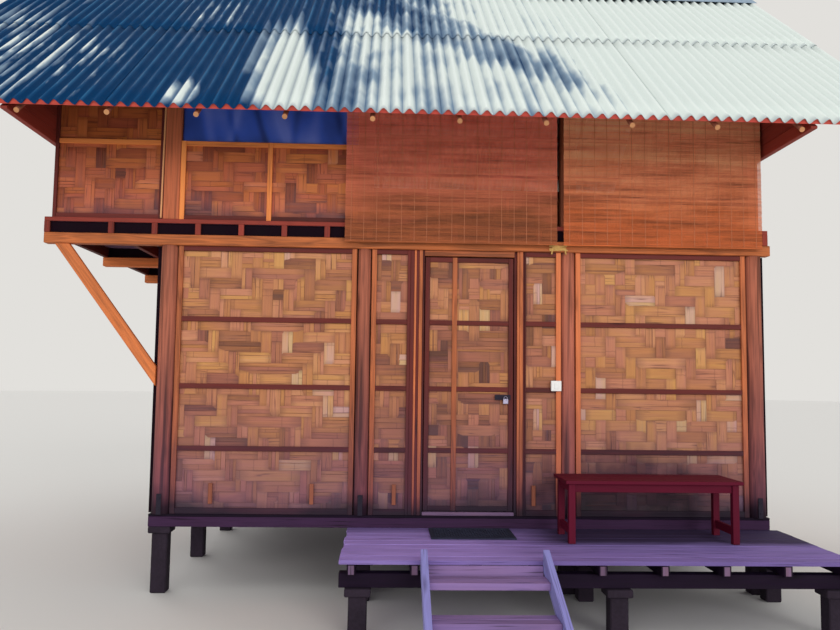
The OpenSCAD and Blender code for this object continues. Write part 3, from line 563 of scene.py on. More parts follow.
def timber(name, colour, contrast=1.0, knots=1.0, weathered=0.0, streaks=0.0, roughness=0.7,
           foot=None, specular=0.3, overlay=None):
    """Sawn or planed wood with grain, darker rings, knots and a tone for each board."""
    f = Finish(name, roughness, specular=specular)
    tone, along, _ = f.shade()
    fibre = f.fibres(2.0, 46, detail=3, roughness=0.6)
    rings = f.calc("PINGPONG", f.times(f.fibres(0.8, 16, 7, distortion=0.6), 7.0), 0.5)
    level = f.total((fibre, 0.5), (rings, 0.35), (f.fibres(1.1, 5, 3), 0.55), (tone, 0.45))
    shown = f.ramp(f.spread(level, 0.5, 1.15), (0.0, tint(colour, 1 - 0.6 * contrast)),
                   (0.5, colour), (1.0, tint(colour, 1 + 0.45 * contrast)))
    rounds = f.node("TexVoronoi", {"Vector": f.grain(1.3, 6, 2), "Scale": 1.0}).outputs["Distance"]
    knot = f.spread(rounds, 0.04, 0.15, 0.75 * knots, 0.0)
    shown = f.mix(knot, shown, tint(colour, 0.25))
    if streaks:
        streak = f.spread(f.fibres(0.6, 19, 12), 0.36, 0.5, streaks, 0.0)
        shown = f.mix(streak, shown, tint(colour, 0.22))
    if weathered:
        grey = f.spread(f.fibres(1.3, 11, 5, detail=3), 0.3, 0.7, weathered * 0.4,
                        min(1.0, weathered * 1.2))
        shown = f.mix(grey, shown, colours().weathered)
        cracks = f.spread(f.fibres(2.2, 80, 9, detail=1), 0.28, 0.4, 0.8, 0.0)
        shown = f.mix(cracks, shown, tint(colour, 0.2))
    worn = f.spread(f.size(along), 0.985, 1.0, 0.0, 0.35)
    shown = f.mix(worn, shown, tint(colour, 0.35))
    if foot:
        shown = f.dirty_shaded_foot(shown, foot, 0.06)
    if overlay:
        shown = overlay(f, shown)
    bump = f.total((fibre, 1.0), (knot, -0.4))
    rough = f.spread(fibre, 0.3, 0.7, roughness - 0.08, roughness + 0.1)
    return f.done(shown, bump, depth=0.0012, strength=0.5, roughness=rough)


# Places on the deck along X and Y: where its paler boards to the left end, where the bench's painted
# shadow begins, how far the painted shade reaches from the wall, and the front boards' outer edge, whose
# front face is darker; each as a start and an end
PALER_LEFT_X = (0.85, 1.3)
BENCH_SHADOW_X = (0.9, 1.3)
BENCH_SHADOW_Y = (-1.9, -1.72)
WALL_SHADE_Y = (-1.5, -1.25)
DECK_EDGE_Y = (-2.484, -2.478)
PALER_LEFT_TINT = (1.55, 1.6, 1.5)


def deck_paling_and_shade(f, shown):
    """Paler boards to the left, painted shade along the wall and under the bench, and a darker front face.
    """
    x, y, _ = f.split(f.place())
    patch = f.cloud(2, 3, 1)
    paler_left = f.spread(f.total((x, 1.0), (patch, 0.6)), *PALER_LEFT_X, 0.8, 0.0)
    shown = f.mix(paler_left, shown, PALER_LEFT_TINT, "MULTIPLY")
    wavering = f.total((y, 1.0), (patch, 0.2))
    # Painted shadow under the bench and painted shade along the wall
    under = f.times(f.spread(wavering, *BENCH_SHADOW_Y, 0.0, 0.88), f.spread(x, *BENCH_SHADOW_X))
    behind = f.spread(wavering, *WALL_SHADE_Y, 0.0, 0.5)
    edge = f.spread(y, *DECK_EDGE_Y, 0.35, 0.0)
    return f.mix(f.most(edge, f.most(under, behind)), shown, colours().deck_shade)


# The bench's shade on the wall behind it: middle along X and Z, half width and half height
BENCH_OVAL = (1.92, 0.84, 0.68, 0.27)
# What turns a strip ochre or rosy, and tan bamboo into the upper storey's brown, made lighter as painted
# light against the eave's shade
OCHRE = (1.0, 1.04, 0.72)
ROSY = (1.0, 0.94, 1.16)
BROWNED = (0.96, 0.58, 0.41)


def bamboo(name, tones, foot, bench_shade=False):
    """Flattened bamboo: soft fibres, fine cracks, a tone for each strip, and shade where strips dip."""
    f = Finish(name, 0.5, specular=0.35)
    tone, along, across = f.shade()
    darkest = tones[0][1]
    fibre = f.fibres(2.5, 95)
    streak = f.fibres(1.7, 24, 4)
    patch = f.cloud(0.9, 0.9, 1.3, detail=3)
    level = f.total((tone, 1.0), (streak, 0.42), (fibre, 0.26), (patch, 0.5))
    shown = f.ramp(f.less(level, 0.59), *tones)
    own = f.total((f.fibres(0.7, 0.7, 21, detail=0), 1.0), (f.fibres(2.2, 14, 23, detail=1), 0.45))
    ochre, rosy = (f.mix(1.0, shown, hue, "MULTIPLY") for hue in (OCHRE, ROSY))
    shown = f.mix(f.spread(own, 0.56, 0.9), ochre, rosy)
    line = f.size(f.less(f.fibres(0.9, 34, 11, detail=1), 0.5))
    where = f.spread(f.fibres(3.0, 5, 14, detail=1), 0.42, 0.6, 0.0, 0.65)
    crack = f.times(f.spread(line, 0.004, 0.02, 1.0, 0.0), where)
    shown = f.mix(crack, shown, darkest)
    u = f.total((f.split(f.grain(1, 1))[0], 1.0), (f.fibres(5, 30, 8, detail=1), 0.014))
    joint = f.spread(f.calc("PINGPONG", u, 0.21), 0.001, 0.007, 0.3, 0.0)
    shown = f.mix(joint, shown, darkest)
    dip = f.spread(f.size(along), 0.5, 0.9, 0.0, 0.42)
    side = f.spread(f.size(across), 0.75, 1.0, 0.0, 0.25)
    shown = f.mix(f.most(dip, side), shown, tint(darkest, 0.8))
    shown = f.dirty_shaded_foot(shown, foot, 0.13)
    if bench_shade:
        behind = f.oval(*BENCH_OVAL, 0, f.cloud(5, 5, 5))
        shown = f.mix(f.times(behind, 0.9), shown, colours().bench_shade, "MULTIPLY")
    bump = f.total((fibre, 0.5), (streak, 0.6), (crack, -0.7))
    rough = f.spread(streak, 0.3, 0.7, 0.45, 0.65)
    return f.done(shown, bump, depth=0.0012, strength=0.6, roughness=rough)


def inner_mat():
    """The wall mats' inner faces: a twill of broad strips, worked out from where the point is."""
    f = Finish("inner_mat", 0.65, specular=0.3)
    x, y, z = f.split(f.place())
    step = 1 / sizes().strip_w
    level_run, rise = f.times(f.calc("ADD", x, y), step), f.times(z, step)
    column, row = f.calc("FLOOR", level_run), f.calc("FLOOR", rise)
    over = f.calc("LESS_THAN", f.calc("FLOORED_MODULO", f.calc("ADD", column, row), 5.0), 2.5)
    flat, tall = f.cloud(9, 9, 240, detail=3), f.cloud(240, 240, 9, detail=3)
    fibre = f.calc("ADD", f.times(over, flat), f.times(f.less(1.0, over), tall))
    gaps = [f.size(f.less(f.calc("FRACT", run), 0.5)) for run in (level_run, rise)]
    edge = f.spread(f.most(*gaps), 0.44, 0.5, 0.0, 0.8)
    c = colours()
    shown = f.ramp(f.total((f.chance(column, row), 0.5), (fibre, 0.5)),
                   (0.2, tint(c.bamboo_brown, 0.8)), (0.55, c.bamboo_tan), (0.9, c.bamboo_pale))
    shown = f.mix(edge, shown, tint(c.bamboo_brown, 0.35))
    return f.done(shown, fibre, depth=0.001, strength=0.4)


def mottled(name, colour, scale, low=0.7, high=1.25, roughness=0.9, metallic=0.0, depth=0.001):
    """A plain solid such as concrete, steel or rubber: soft blotches, fine grain and small pits."""
    f = Finish(name, roughness, metallic, 0.5 if roughness < 0.7 else 0.1)
    broad = f.cloud(scale, scale, scale, detail=4)
    fine = f.cloud(scale * 9, scale * 9, scale * 9, detail=5)
    level = f.total((broad, 0.6), (fine, 0.4))
    shown = f.ramp(f.spread(level, 0.3, 0.7), (0.0, tint(colour, low)), (1.0, tint(colour, high)))
    rough = f.spread(broad, 0.3, 0.7, max(0.05, roughness - 0.1), min(1.0, roughness + 0.12))
    return f.done(shown, fine, depth=depth, strength=0.5, roughness=rough)


# Ovals of painted sunlight and painted shade on the roof as seen from the front: x, z, half width, half
# height, lean in degrees, and for a patch how much paler, or darker below 0, the paint is there
ROOF_SUNFLECKS = ((-3.0, 4.3, 0.36, 0.68, 4), (-2.52, 4.2, 0.22, 0.55, 0), (-1.75, 5.3, 0.3, 0.35, 0),
                (-3.5, 4.7, 0.3, 0.6, 0), (-1.66, 3.85, 0.12, 0.2, 0))
ROOF_LIGHT_PATCHES = ((-1.0, 4.3, 0.23, 0.85, -10, 0.95), (-0.74, 4.85, 0.14, 0.6, -6, -0.6),
                (0.5, 5.0, 1.45, 0.24, 39, -0.44), (-0.6, 6.0, 1.3, 0.75, 0, -0.36),
                (-1.66, 3.85, 0.11, 0.16, 0, 0.8), (-0.5, 4.2, 0.2, 0.5, 0, -0.3))


def roof_shade_and_sunlight():
    """Roof sheets with painted shade, dark and streaked to the left, painted flecks of sunlight, pale to
    the right, and painted shade in the valleys.
    """
    f = Finish("roof_green", 0.75, specular=0.06)
    tone, _, along = f.shade()
    c = colours()
    x = f.split(f.place())[0]
    waves = f.times(f.less(x, box_of("roof_front_low")[0][0]), 1 / sizes().wave_w)
    crest = f.calc("PINGPONG", waves, 0.5)
    shade_drift = f.cloud(1.0, 0.42, 0.42, detail=3, roughness=0.6)
    flecks = f.cloud(5, 2.2, 2.2)
    sunfleck = f.times(f.spread(f.cloud(13, 1.9, 1.9, detail=3), 0.36, 0.62),
                     f.spread(crest, 0.08, 0.46))
    sunflecks = f.total(*((f.times(sunfleck, f.oval(*place, flecks)), 0.8) for place in ROOF_SUNFLECKS))
    patches = f.total(*((f.oval(*place, flecks), amount) for *place, amount in ROOF_LIGHT_PATCHES))
    level = f.total((f.spread(x, -1.4, -0.1), 1.1), (f.spread(x, 1.2, 2.2), 0.35), (shade_drift, 1.5),
                    (flecks, 0.54), (f.chance(f.calc("FLOOR", waves), 0.5), 0.3), (tone, 0.06),
                    (crest, 0.7), (sunflecks, 1.0), (patches, 1.0))
    shown = f.ramp(f.less(level, 1.59), (0.05, c.roof_shaded), (0.5, c.roof_green),
                   (0.85, c.roof_pale))
    # Painted highlight along the crests
    worn = f.times(f.spread(crest, 0.3, 0.49), f.spread(f.cloud(9, 1.6, 1.6), 0.38, 0.62, 0.1, 0.75))
    shown = f.mix(worn, shown, c.roof_crest_highlight, "LIGHTEN")
    # Painted shade in the valleys, mostly to the left; each sheet is also darker at its foot and head
    valley_shade = f.times(f.spread(crest, 0.0, 0.24, 0.55, 0.0), f.spread(x, -1.0, 1.5, 1.0, 0.2))
    sheet_ends_dark = f.spread(f.size(along), 0.93, 1.0, 0.0, 0.35)
    shown = f.mix(f.most(valley_shade, sheet_ends_dark), shown, tint(c.roof_shaded, 1.1))
    streak = f.fibres(5, 0.7)
    rough = f.spread(streak, 0.3, 0.7, 0.6, 0.8)
    return f.done(shown, streak, depth=0.0004, strength=0.15, roughness=rough)


def reeds(name, colour, low_colour):
    """Split reeds of a blind: tones that change from reed to reed and along each of them, and a lighter
    upper colour that is painted light under the eave.
    """
    f = Finish(name, 0.6, specular=0.3)
    streak = f.fibres(4.5, 3, roughness=0.6)
    patch = f.cloud(2.6, 1.0, 9.0)
    band = f.cloud(1.3, 1.0, 38.0)
    level = f.total((f.shade()[0], 0.45), (streak, 0.95), (patch, 0.4), (band, 1.1))
    whole = [f.ramp(f.spread(level, 0.88, 1.68), (0.0, tint(shade, 0.38)), (0.5, shade),
                    (1.0, tint(shade, 1.6))) for shade in (colour, low_colour)]
    (_, _, foot), (_, _, top) = box_of("reed_blind_left")
    # Painted light: the upper colour is lighter, to stand against the shade under the eave
    low = f.spread(f.total((f.height(), 1.0), (patch, 0.5)), foot + 0.45, top + 0.12, 1.0, 0.0)
    return f.done(f.mix(low, *whole), streak, depth=0.0005, strength=0.4)


def tarp_cloth(name, blue):
    """Creased plastic sheet: painted light along its creases, painted shade in its hollows."""
    f = Finish(name, 0.42)
    level = f.total((f.shade()[0], 1.0), (f.cloud(5, 5, 5, detail=3), 0.25))
    shown = f.ramp(f.less(level, 0.12), (0.15, tint(blue, 0.45)), (0.5, blue),
                   (0.85, tuple(v * 0.7 + 0.09 for v in tint(blue, 1.5))))
    return f.done(shown, f.cloud(70, 70, 70), depth=0.0005, strength=0.2)


# What sets each timber apart; each has the colour of its own name, and foot_rise is how far up
# from the ground floor its dirt and painted shade reach
TIMBERS = {
    "orange_timber": {},
    "batten_timber": {"foot_rise": 1.2},
    "post_timber": {"streaks": 0.6},
    "brown_timber": {"contrast": 0.9, "weathered": 0.3},
    "sill_timber": {"contrast": 0.9, "weathered": 0.03, "specular": 0.12},
    "rim_timber": {"contrast": 0.9, "specular": 0.12},
    "upper_timber": {"contrast": 0.8},
    "maroon_timber": {"contrast": 0.8, "foot_rise": 1.2},
    "red_timber": {"contrast": 0.8},
    "eave_timber": {"contrast": 0.6},
    "pale_wood": {"contrast": 0.4, "knots": 0.0},
    "log_wood": {"streaks": 0.9, "roughness": 0.8, "foot_rise": 1.8},
    "pole_wood": {"contrast": 0.7},
    "deck_wood": {"contrast": 0.6, "weathered": 0.75, "roughness": 0.85, "overlay": deck_paling_and_shade},
    "stringer_wood": {"contrast": 0.5, "weathered": 0.3, "roughness": 0.85},
    "tread_wood": {"contrast": 0.7, "weathered": 0.4, "roughness": 0.85},
    "bench_paint": {"contrast": 0.45, "knots": 0.2, "roughness": 0.6, "specular": 0.12},
}
# Plain solids: blotches to the metre, then the darkest and the lightest tint, the roughness, the
# metal share and the depth of the pits, where these differ from the usual ones
SOLIDS = {
    "mat_core": (6,),
    "dark_board": (6,),
    "concrete": (5, 0.6, 1.35, 0.9, 0.0, 0.004),
    "strap_steel": (20, 0.6, 1.6, 0.55, 0.6),
    "latch_steel": (30, 0.8, 1.15, 0.3, 0.9, 0.0003),
    "hinge_steel": (40, 0.7, 1.5, 0.45, 0.8, 0.0003),
    "switch_plastic": (8, 0.94, 1.03, 0.4, 0.0, 0.0003),
    "mat_rubber": (14, 0.6, 1.6, 0.9, 0.0, 0.003),
    "ridge_green": (3, 0.6, 1.3, 0.5),
    "cord": (40, 0.7, 1.2, 0.9, 0.0, 0.0008),
    "thread": (60, 0.75, 1.15, 0.9, 0.0, 0.0004),
}
SAME_COLOUR = {"hinge_steel": "strap_steel", "ridge_green": "roof_green"}
FINISHES = {}


def finish(name):
    """A finish by name, made when it is first asked for."""
    if name not in FINISHES:
        c = colours()
        colour = getattr(c, SAME_COLOUR.get(name, name), None)
        if name in TIMBERS:
            how = dict(TIMBERS[name])
            rise = how.pop("foot_rise", 0)
            foot = foot_of("ground_floor", 0.0, rise) if rise else None
            made = timber(name, colour, foot=foot, **how)
        elif name in SOLIDS:
            made = mottled(name, colour, *SOLIDS[name])
        elif name.endswith("_weave"):
            made = weave_finish(name)
        elif name.startswith("reed_"):
            made = reeds(name, colour, {"reed_brown": c.reed_olive, "reed_orange": c.reed_tan}[name])
        else:
            made = {"inner_mat": inner_mat, "roof_green": roof_shade_and_sunlight,
                    "tarp_blue": lambda: tarp_cloth(name, colour)}[name]()
        FINISHES[name] = made
    return FINISHES[name]


def foot_of(floor, start, rise, amount=1.0):
    """Where a foot's dirt and painted shade begin and end above a floor, and their amount."""
    top = box_of(floor)[1][2]
    return top + start, top + rise, amount


def weave_finish(name):
    """The lower storey's golden mats or the upper storey's brown ones."""
    c = colours()
    tones = ((0.0, c.bamboo_dark), (0.22, c.bamboo_brown), (0.5, c.bamboo_tan),
             (0.78, c.bamboo_light), (1.0, c.bamboo_pale))
    if name == "golden_weave":
        return bamboo(name, tones, foot_of("ground_floor", 0.0, 1.2), bench_shade=True)
    brown = [(at, [min(1.0, v * k) for v, k in zip(colour, BROWNED)]) for at, colour in tones]
    return bamboo(name, brown, foot_of("upper_floor", -0.05, 0.3, 0.6))


# Woven mats and framed wall panels

class Wall:
    """A wall plane: where its local x starts, the way along it and the way out of it."""

    def __init__(self, origin, along, out):
        self.origin = np.array(origin, float)
        self.along, self.out = np.array(along, float), np.array(out, float)

    def at(self, x, y, z):
        """World place of a local point; y counts inwards from the outer face."""
        return self.origin + x * self.along - y * self.out + z * UP

    def axes(self, upright=False):
        """Grain, width and outward axes of a board on this wall."""
        grain, width = (UP, self.along) if upright else (self.along, UP)
        return np.array([grain, width, self.out])

    def board(self, x0, x1, y0, y1, z0, z1, upright=False):
        """Centre, axes and half sizes of a board between local limits."""
        along, tall, deep = abs(x1 - x0) / 2, (z1 - z0) / 2, (y1 - y0) / 2
        half = (tall, along, deep) if upright else (along, tall, deep)
        return self.at((x0 + x1) / 2, (y0 + y1) / 2, (z0 + z1) / 2), self.axes(upright), half


def runs(line):
    """Start and end of each stretch of True in a row of flags."""
    edges = np.flatnonzero(np.diff(np.concatenate([[False], line, [False]]).astype(int)))
    return list(zip(edges[::2], edges[1::2]))


# How a mat strays from its pattern: the chances that it shifts at a row or at a column, and that a
# crossing slips; how far a strip's end reaches under its neighbour, in strips; and the shares of
# the mat's thickness where its dark core begins and ends
TWILL = 5
LEVEL_FLOATS = 3
ROW_SHIFT, COLUMN_SHIFT, SLIP = 0.12, 0.08, 0.07
TUCK = 0.3
CORE_START, CORE_END = 0.62, 0.8
# Least and most tone of a mat's dark and pale strips, how common pale ones are among the level and
# the upright strips, and how evenly a strip is split into slats
DARK_TONES, PALE_TONES = (0.14, 0.3), (0.88, 1.08)
PALE_LEVEL, PALE_UPRIGHT = 0.4, 1.6
EVENNESS = 9.0
# Outer stiles of a panel at its left and right: their share of the usual width, and if they are dark
ENDS = ((1, False), (1, False))
# How far a level batten's face lies behind the upright ones'
RAIL_BACK = 0.003


def weave(parts, wall, x0, x1, y_face, z0, z1, look):
    """Lays the visible floats of a twill mat as strips that dip under their crossings."""
    s, rng = sizes(), parts.rng
    columns, rows = (max(2, round(run / s.strip_w)) for run in (x1 - x0, z1 - z0))
    wide, tall = (x1 - x0) / columns, (z1 - z0) / rows
    turn = look["turn"]
    i, j = np.meshgrid(np.arange(columns), np.arange(rows), indexing="ij")
    diagonal = np.where(i < turn, i, 2 * turn - i) + j + look.get("phase", 0)
    diagonal = diagonal + (rng.random(rows) < ROW_SHIFT).cumsum()[None]
    diagonal = diagonal + (rng.random(columns) < COLUMN_SHIFT).cumsum()[:, None]
    level_over = (diagonal % TWILL < LEVEL_FLOATS) ^ (rng.random(i.shape) < SLIP)
    floats = [(True, a, b, row) for row in range(rows) for a, b in runs(level_over[:, row])]
    floats += [(False, a, b, column) for column in range(columns)
               for a, b in runs(~level_over[column])]
    line_tone = {True: rng.normal(0, 0.05, rows), False: rng.normal(0, 0.05, columns)}
    spans = {True: (x0, x1, wide, z0, tall), False: (z0, z1, tall, x0, wide)}
    laid = []
    for level, a, b, line in floats:
        low, high, size, side, across = spans[level]
        start = max(low, low + a * size - TUCK * size)
        end = min(high, low + b * size + TUCK * size)
        count = int(rng.choice(look["splits"]))
        widths = rng.dirichlet(np.full(count, EVENNESS)) * across
        edge = side + line * across
        tone = look["tone"] + line_tone[level][line] + rng.normal(0, look["spread"])
        chance = rng.random()
        if chance < look["dark"]:
            tone = rng.uniform(*DARK_TONES)
        elif chance > 1 - look["pale"] * (PALE_LEVEL if level else PALE_UPRIGHT):
            tone = rng.uniform(*PALE_TONES)
        for width in widths:
            gap = rng.uniform(*look["gap"])
            u0 = max(start + rng.normal(0, 0.006), low)
            u1 = min(end + rng.normal(0, 0.006), high)
            v = edge + width / 2
            depth = y_face + s.slat_t / 2 + rng.uniform(0, 0.0012)
            x, z = ((u0 + u1) / 2, v) if level else (v, (u0 + u1) / 2)
            laid.append((wall.at(x, depth, z), wall.axes(upright=not level),
                         ((u1 - u0) / 2, max(width - gap, 0.004) / 2, s.slat_t / 2),
                         tone + rng.normal(0, look["slat_spread"])))
            edge += width
    centres, axes, halves, tones = (np.array(column) for column in zip(*laid))
    c = PLATE.co[None]
    local = c * halves[:, None]
    local[:, :, 2] -= s.mat_t * 0.5 * np.abs(c[:, :, 0]) ** 5
    tilt = rng.normal(0, 0.006, (len(halves), 1))
    local[:, :, 1] += local[:, :, 0] * tilt * 0.5
    parts.put(PLATE, local, centres, axes, np.clip(tones, 0.02, 1.15))


class Batch:
    """Boards waiting to be added with one call."""

    def __init__(self):
        self.rows = []

    def add(self, centre, axes, half):
        self.rows.append((centre, axes, half))

    def box(self, lo, hi, grain):
        """A board that fills a box, with its grain along the axis of that number."""
        lo, hi = np.asarray(lo, float), np.asarray(hi, float)
        half = (hi - lo) / 2
        others = sorted((k for k in range(3) if k != grain), key=lambda k: -half[k])
        order = [grain] + others
        self.rows.append(((lo + hi) / 2, np.eye(3)[order], half[order]))

    def into(self, parts, blank=LONG_BOARD, **how):
        """Adds the waiting boards to a piece being gathered."""
        parts.boards(blank, *(np.array(column) for column in zip(*self.rows)), **how)

    def piece(self, name, look, slot, seed, stands_for=(), blank=LONG_BOARD, body=HOUSE, **how):
        """Makes one piece of the waiting boards."""
        parts = Parts(seed)
        self.into(parts, blank, **how)
        return parts.make(name, look, slot, stands_for, body)


class Panels:
    """Everything of one wall's woven panels: slats, dark core, inner mat, battens and studs."""

    def __init__(self, seed):
        self.seed = seed
        self.slats = Parts(seed)
        self.cores, self.mats, self.stiles, self.rails, self.studs = (Batch() for _ in range(5))

    def mat(self, wall, x0, x1, z0, z1, look, y_face=0.0):
        """Woven strips in front of a dark core and an inner mat."""
        weave(self.slats, wall, x0, x1, y_face, z0, z1, look)
        core, inner, back = (y_face + sizes().mat_t * share for share in (CORE_START, CORE_END, 1))
        self.cores.add(*wall.board(x0, x1, core, inner, z0, z1))
        self.mats.add(*wall.board(x0, x1, inner, back, z0, z1))

    def battens(self, wall, x0, x1, z0, z1, levels, stiles, ends=ENDS, sunk=RAIL_BACK):
        """Upright battens through, level ones between them, outside and inside the mat."""
        s = sizes()
        wide = s.stile_w
        for upright, level, y0, y1, back, borders in (
                (self.stiles, self.rails, -s.batten_t, 0.0, RAIL_BACK, ends),
                (self.studs, self.studs, s.mat_t, s.mat_t + s.stud_d, sunk, ENDS)):
            (left, left_dark), (right, right_dark) = borders
            places = [(x0, x0 + left * wide, level if left_dark else upright),
                      *((x, x + wide, upright) for x in stiles),
                      (x1 - right * wide, x1, level if right_dark else upright)]
            for a, b, batch in places:
                batch.add(*wall.board(a, b, y0, y1, z0, z1, upright=True))
            for z, height in levels:
                for start, end in zip(places, places[1:]):
                    level.add(*wall.board(start[1], end[0], y0 + back, y1, z, z + height))

    def panel(self, wall, x0, x1, z0, z1, rails, look, stiles=(), foot=None, ends=ENDS):
        """A framed mat; ends gives its outer stiles' shares of the usual width, and if they are dark."""
        tall = sizes().rail_w
        levels = [(z0, foot or tall)] + [(z, tall) for z in rails] + [(z1 - tall, tall)]
        self.mat(wall, x0, x1, z0, z1, look)
        self.battens(wall, x0, x1, z0, z1, levels, stiles, ends)

    def make(self, name, node, mat_look, slot, stile_look="orange_timber", trim=None):
        """Makes the wall's pieces, all standing for its node; trim may cut each of them."""
        made = [self.slats.make(name + "_slats", mat_look, slot, [node])]
        for batch, part, look, blank in ((self.cores, "_core", "mat_core", BOARD),
                                         (self.mats, "_inner_mat", "inner_mat", BOARD),
                                         (self.stiles, "_stiles", stile_look, LONG_BOARD),
                                         (self.rails, "_rails", "maroon_timber", LONG_BOARD),
                                         (self.studs, "_studs", "orange_timber", BOARD)):
            made.append(batch.piece(name + part, look, slot, self.seed + len(made), [node], blank))
        if trim:
            for piece in made:
                trim(piece)


# Creases of the tarp: place at its top and foot, width, and depth
CREASES = ((0.10, 0.16, 0.030, -0.30), (0.22, 0.30, 0.022, 0.34), (0.34, 0.27, 0.024, -0.32),
           (0.36, 0.47, 0.020, 0.38), (0.46, 0.60, 0.034, -0.26), (0.66, 0.63, 0.026, 0.28),
           (0.78, 0.74, 0.040, -0.30), (0.84, 0.92, 0.024, 0.30), (0.97, 0.90, 0.026, -0.26))
# Numbers of planks in the bench's top, and of bars in the doormat along and across it
BENCH_PLANKS = 3
MAT_COLUMNS, MAT_ROWS = 28, 12
# Places along the facade of the upright cleats at the feet of the front panels
CLEATS_X = (-1.5, -0.686, -0.018, 1.128)
# Strips of the hinge jamb and the latch jamb: finish, start and end across it, and set back by
JAMB_STRIPS = ((("maroon_timber", 0.0, 0.28, 0.006), ("batten_timber", 0.285, 0.43, 0.003),
                ("maroon_timber", 0.435, 0.62, 0.008), ("batten_timber", 0.625, 0.86, 0.0),
                ("maroon_timber", 0.865, 1.0, 0.01)),
               (("maroon_timber", 0.0, 0.27, 0.02), ("batten_timber", 0.275, 0.5, 0.003),
                ("batten_timber", 0.515, 0.84, 0.0), ("maroon_timber", 0.845, 1.0, 0.008)))
# How mats are woven: their strips' usual tone and its scatter from strip to strip and slat to slat,
# numbers of slats in a strip, least and most gap between slats, and shares of pale and dark strips
FRONT_LOOK = {"tone": 0.5, "spread": 0.1, "slat_spread": 0.06, "splits": (1, 1, 2, 2, 3),
              "gap": (0.0006, 0.0022), "pale": 0.03, "dark": 0.03}
SMOOTH_LOOK = {"tone": 0.55, "spread": 0.09, "slat_spread": 0.03, "splits": (1, 1, 1, 2),
               "gap": (0.0006, 0.0016), "pale": 0.05, "dark": 0.015}
UPPER_LOOK = {"tone": 0.5, "spread": 0.11, "slat_spread": 0.06, "splits": (1, 1, 2, 3),
              "gap": (0.0006, 0.002), "pale": 0.02, "dark": 0.04}
SIDE_LOOK = dict(SMOOTH_LOOK, tone=0.5, dark=0.03)


def front_wall():
    """The facade's plane, with local x equal to the frame's X."""
    lo, _ = box_of("front_wall_left")
    return Wall((0, lo[1] + sizes().batten_t, 0), (1, 0, 0), (0, -1, 0))


def lower_rails():
    """Undersides of the lower storey's level battens."""
    s = sizes()
    floor = box_of("ground_floor")[1][2]
    return [floor + up for up in (s.low_rail_up, s.middle_rail_up, s.high_rail_up)]


class STILTHOUSE_OT_piers(Operator):
    """Makes the concrete piers with their caps"""
    bl_idname = "stilt_house.piers"
    bl_label = "Concrete piers"

    def execute(self, context):
        s = sizes()
        columns, caps = Batch(), Batch()
        for lo, hi in solids("piers"):
            x, y, _ = (lo + hi) / 2
            half, neck = s.pier_w / 2, hi[2] - s.pier_cap_h
            columns.box((x - half, y - half, lo[2]), (x + half, y + half, neck), 2)
            caps.box((lo[0], lo[1], neck), hi, 2)
        parts = Parts(11)
        columns.into(parts, bevel=0.008, warp=0.001)
        caps.into(parts, SOFT_BOARD, bevel=0.01)
        parts.make("concrete_piers", "concrete", "concrete", ["piers"])
        return {"FINISHED"}


def dressed_boards(name, node, grain, look, slot, seed, bevel=0.003, blank=LONG_BOARD):
    """Bevelled boards over each separate solid of a node, with a grain of None along the longest side."""
    batch = Batch()
    for lo, hi in solids(node):
        batch.box(lo, hi, int(np.argmax(hi - lo)) if grain is None else grain)
    return batch.piece(name, look, slot, seed, [node], blank, bevel=bevel)


def planks(name, node, width, look, slot, seed, gap=0.002, inside=0.0, rim_look=None):
    """Planks along X that fill a node's box, or all but a margin along its front and back."""
    lo, hi = box_of(node)
    lo[1] += inside
    hi[1] -= inside
    count = round((hi[1] - lo[1]) / width)
    step = (hi[1] - lo[1]) / count
    inner, rim = Batch(), Batch()
    for k in range(count):
        y0 = lo[1] + k * step + (gap / 2 if k else 0)
        y1 = lo[1] + (k + 1) * step - (gap / 2 if k < count - 1 else 0)
        batch = rim if rim_look and k in (0, count - 1) else inner
        batch.box((lo[0], y0, lo[2]), (hi[0], y1, hi[2]), 0)
    inner.piece(name, look, slot, seed, [node])
    if rim_look:
        rim.piece(name + "_rim", rim_look, slot, seed, [node])


class STILTHOUSE_OT_ground(Operator):
    """Makes the sills, the joists and the floor boards of the lower storey"""
    bl_idname = "stilt_house.ground"
    bl_label = "Ground floor"

    def execute(self, context):
        dressed_boards("sills_and_joists", "ground_frame", None, "sill_timber", "brown_timber", 21)
        planks("floor_planks", "ground_floor", 0.14, "brown_timber", "brown_timber", 22,
               rim_look="rim_timber")
        return {"FINISHED"}


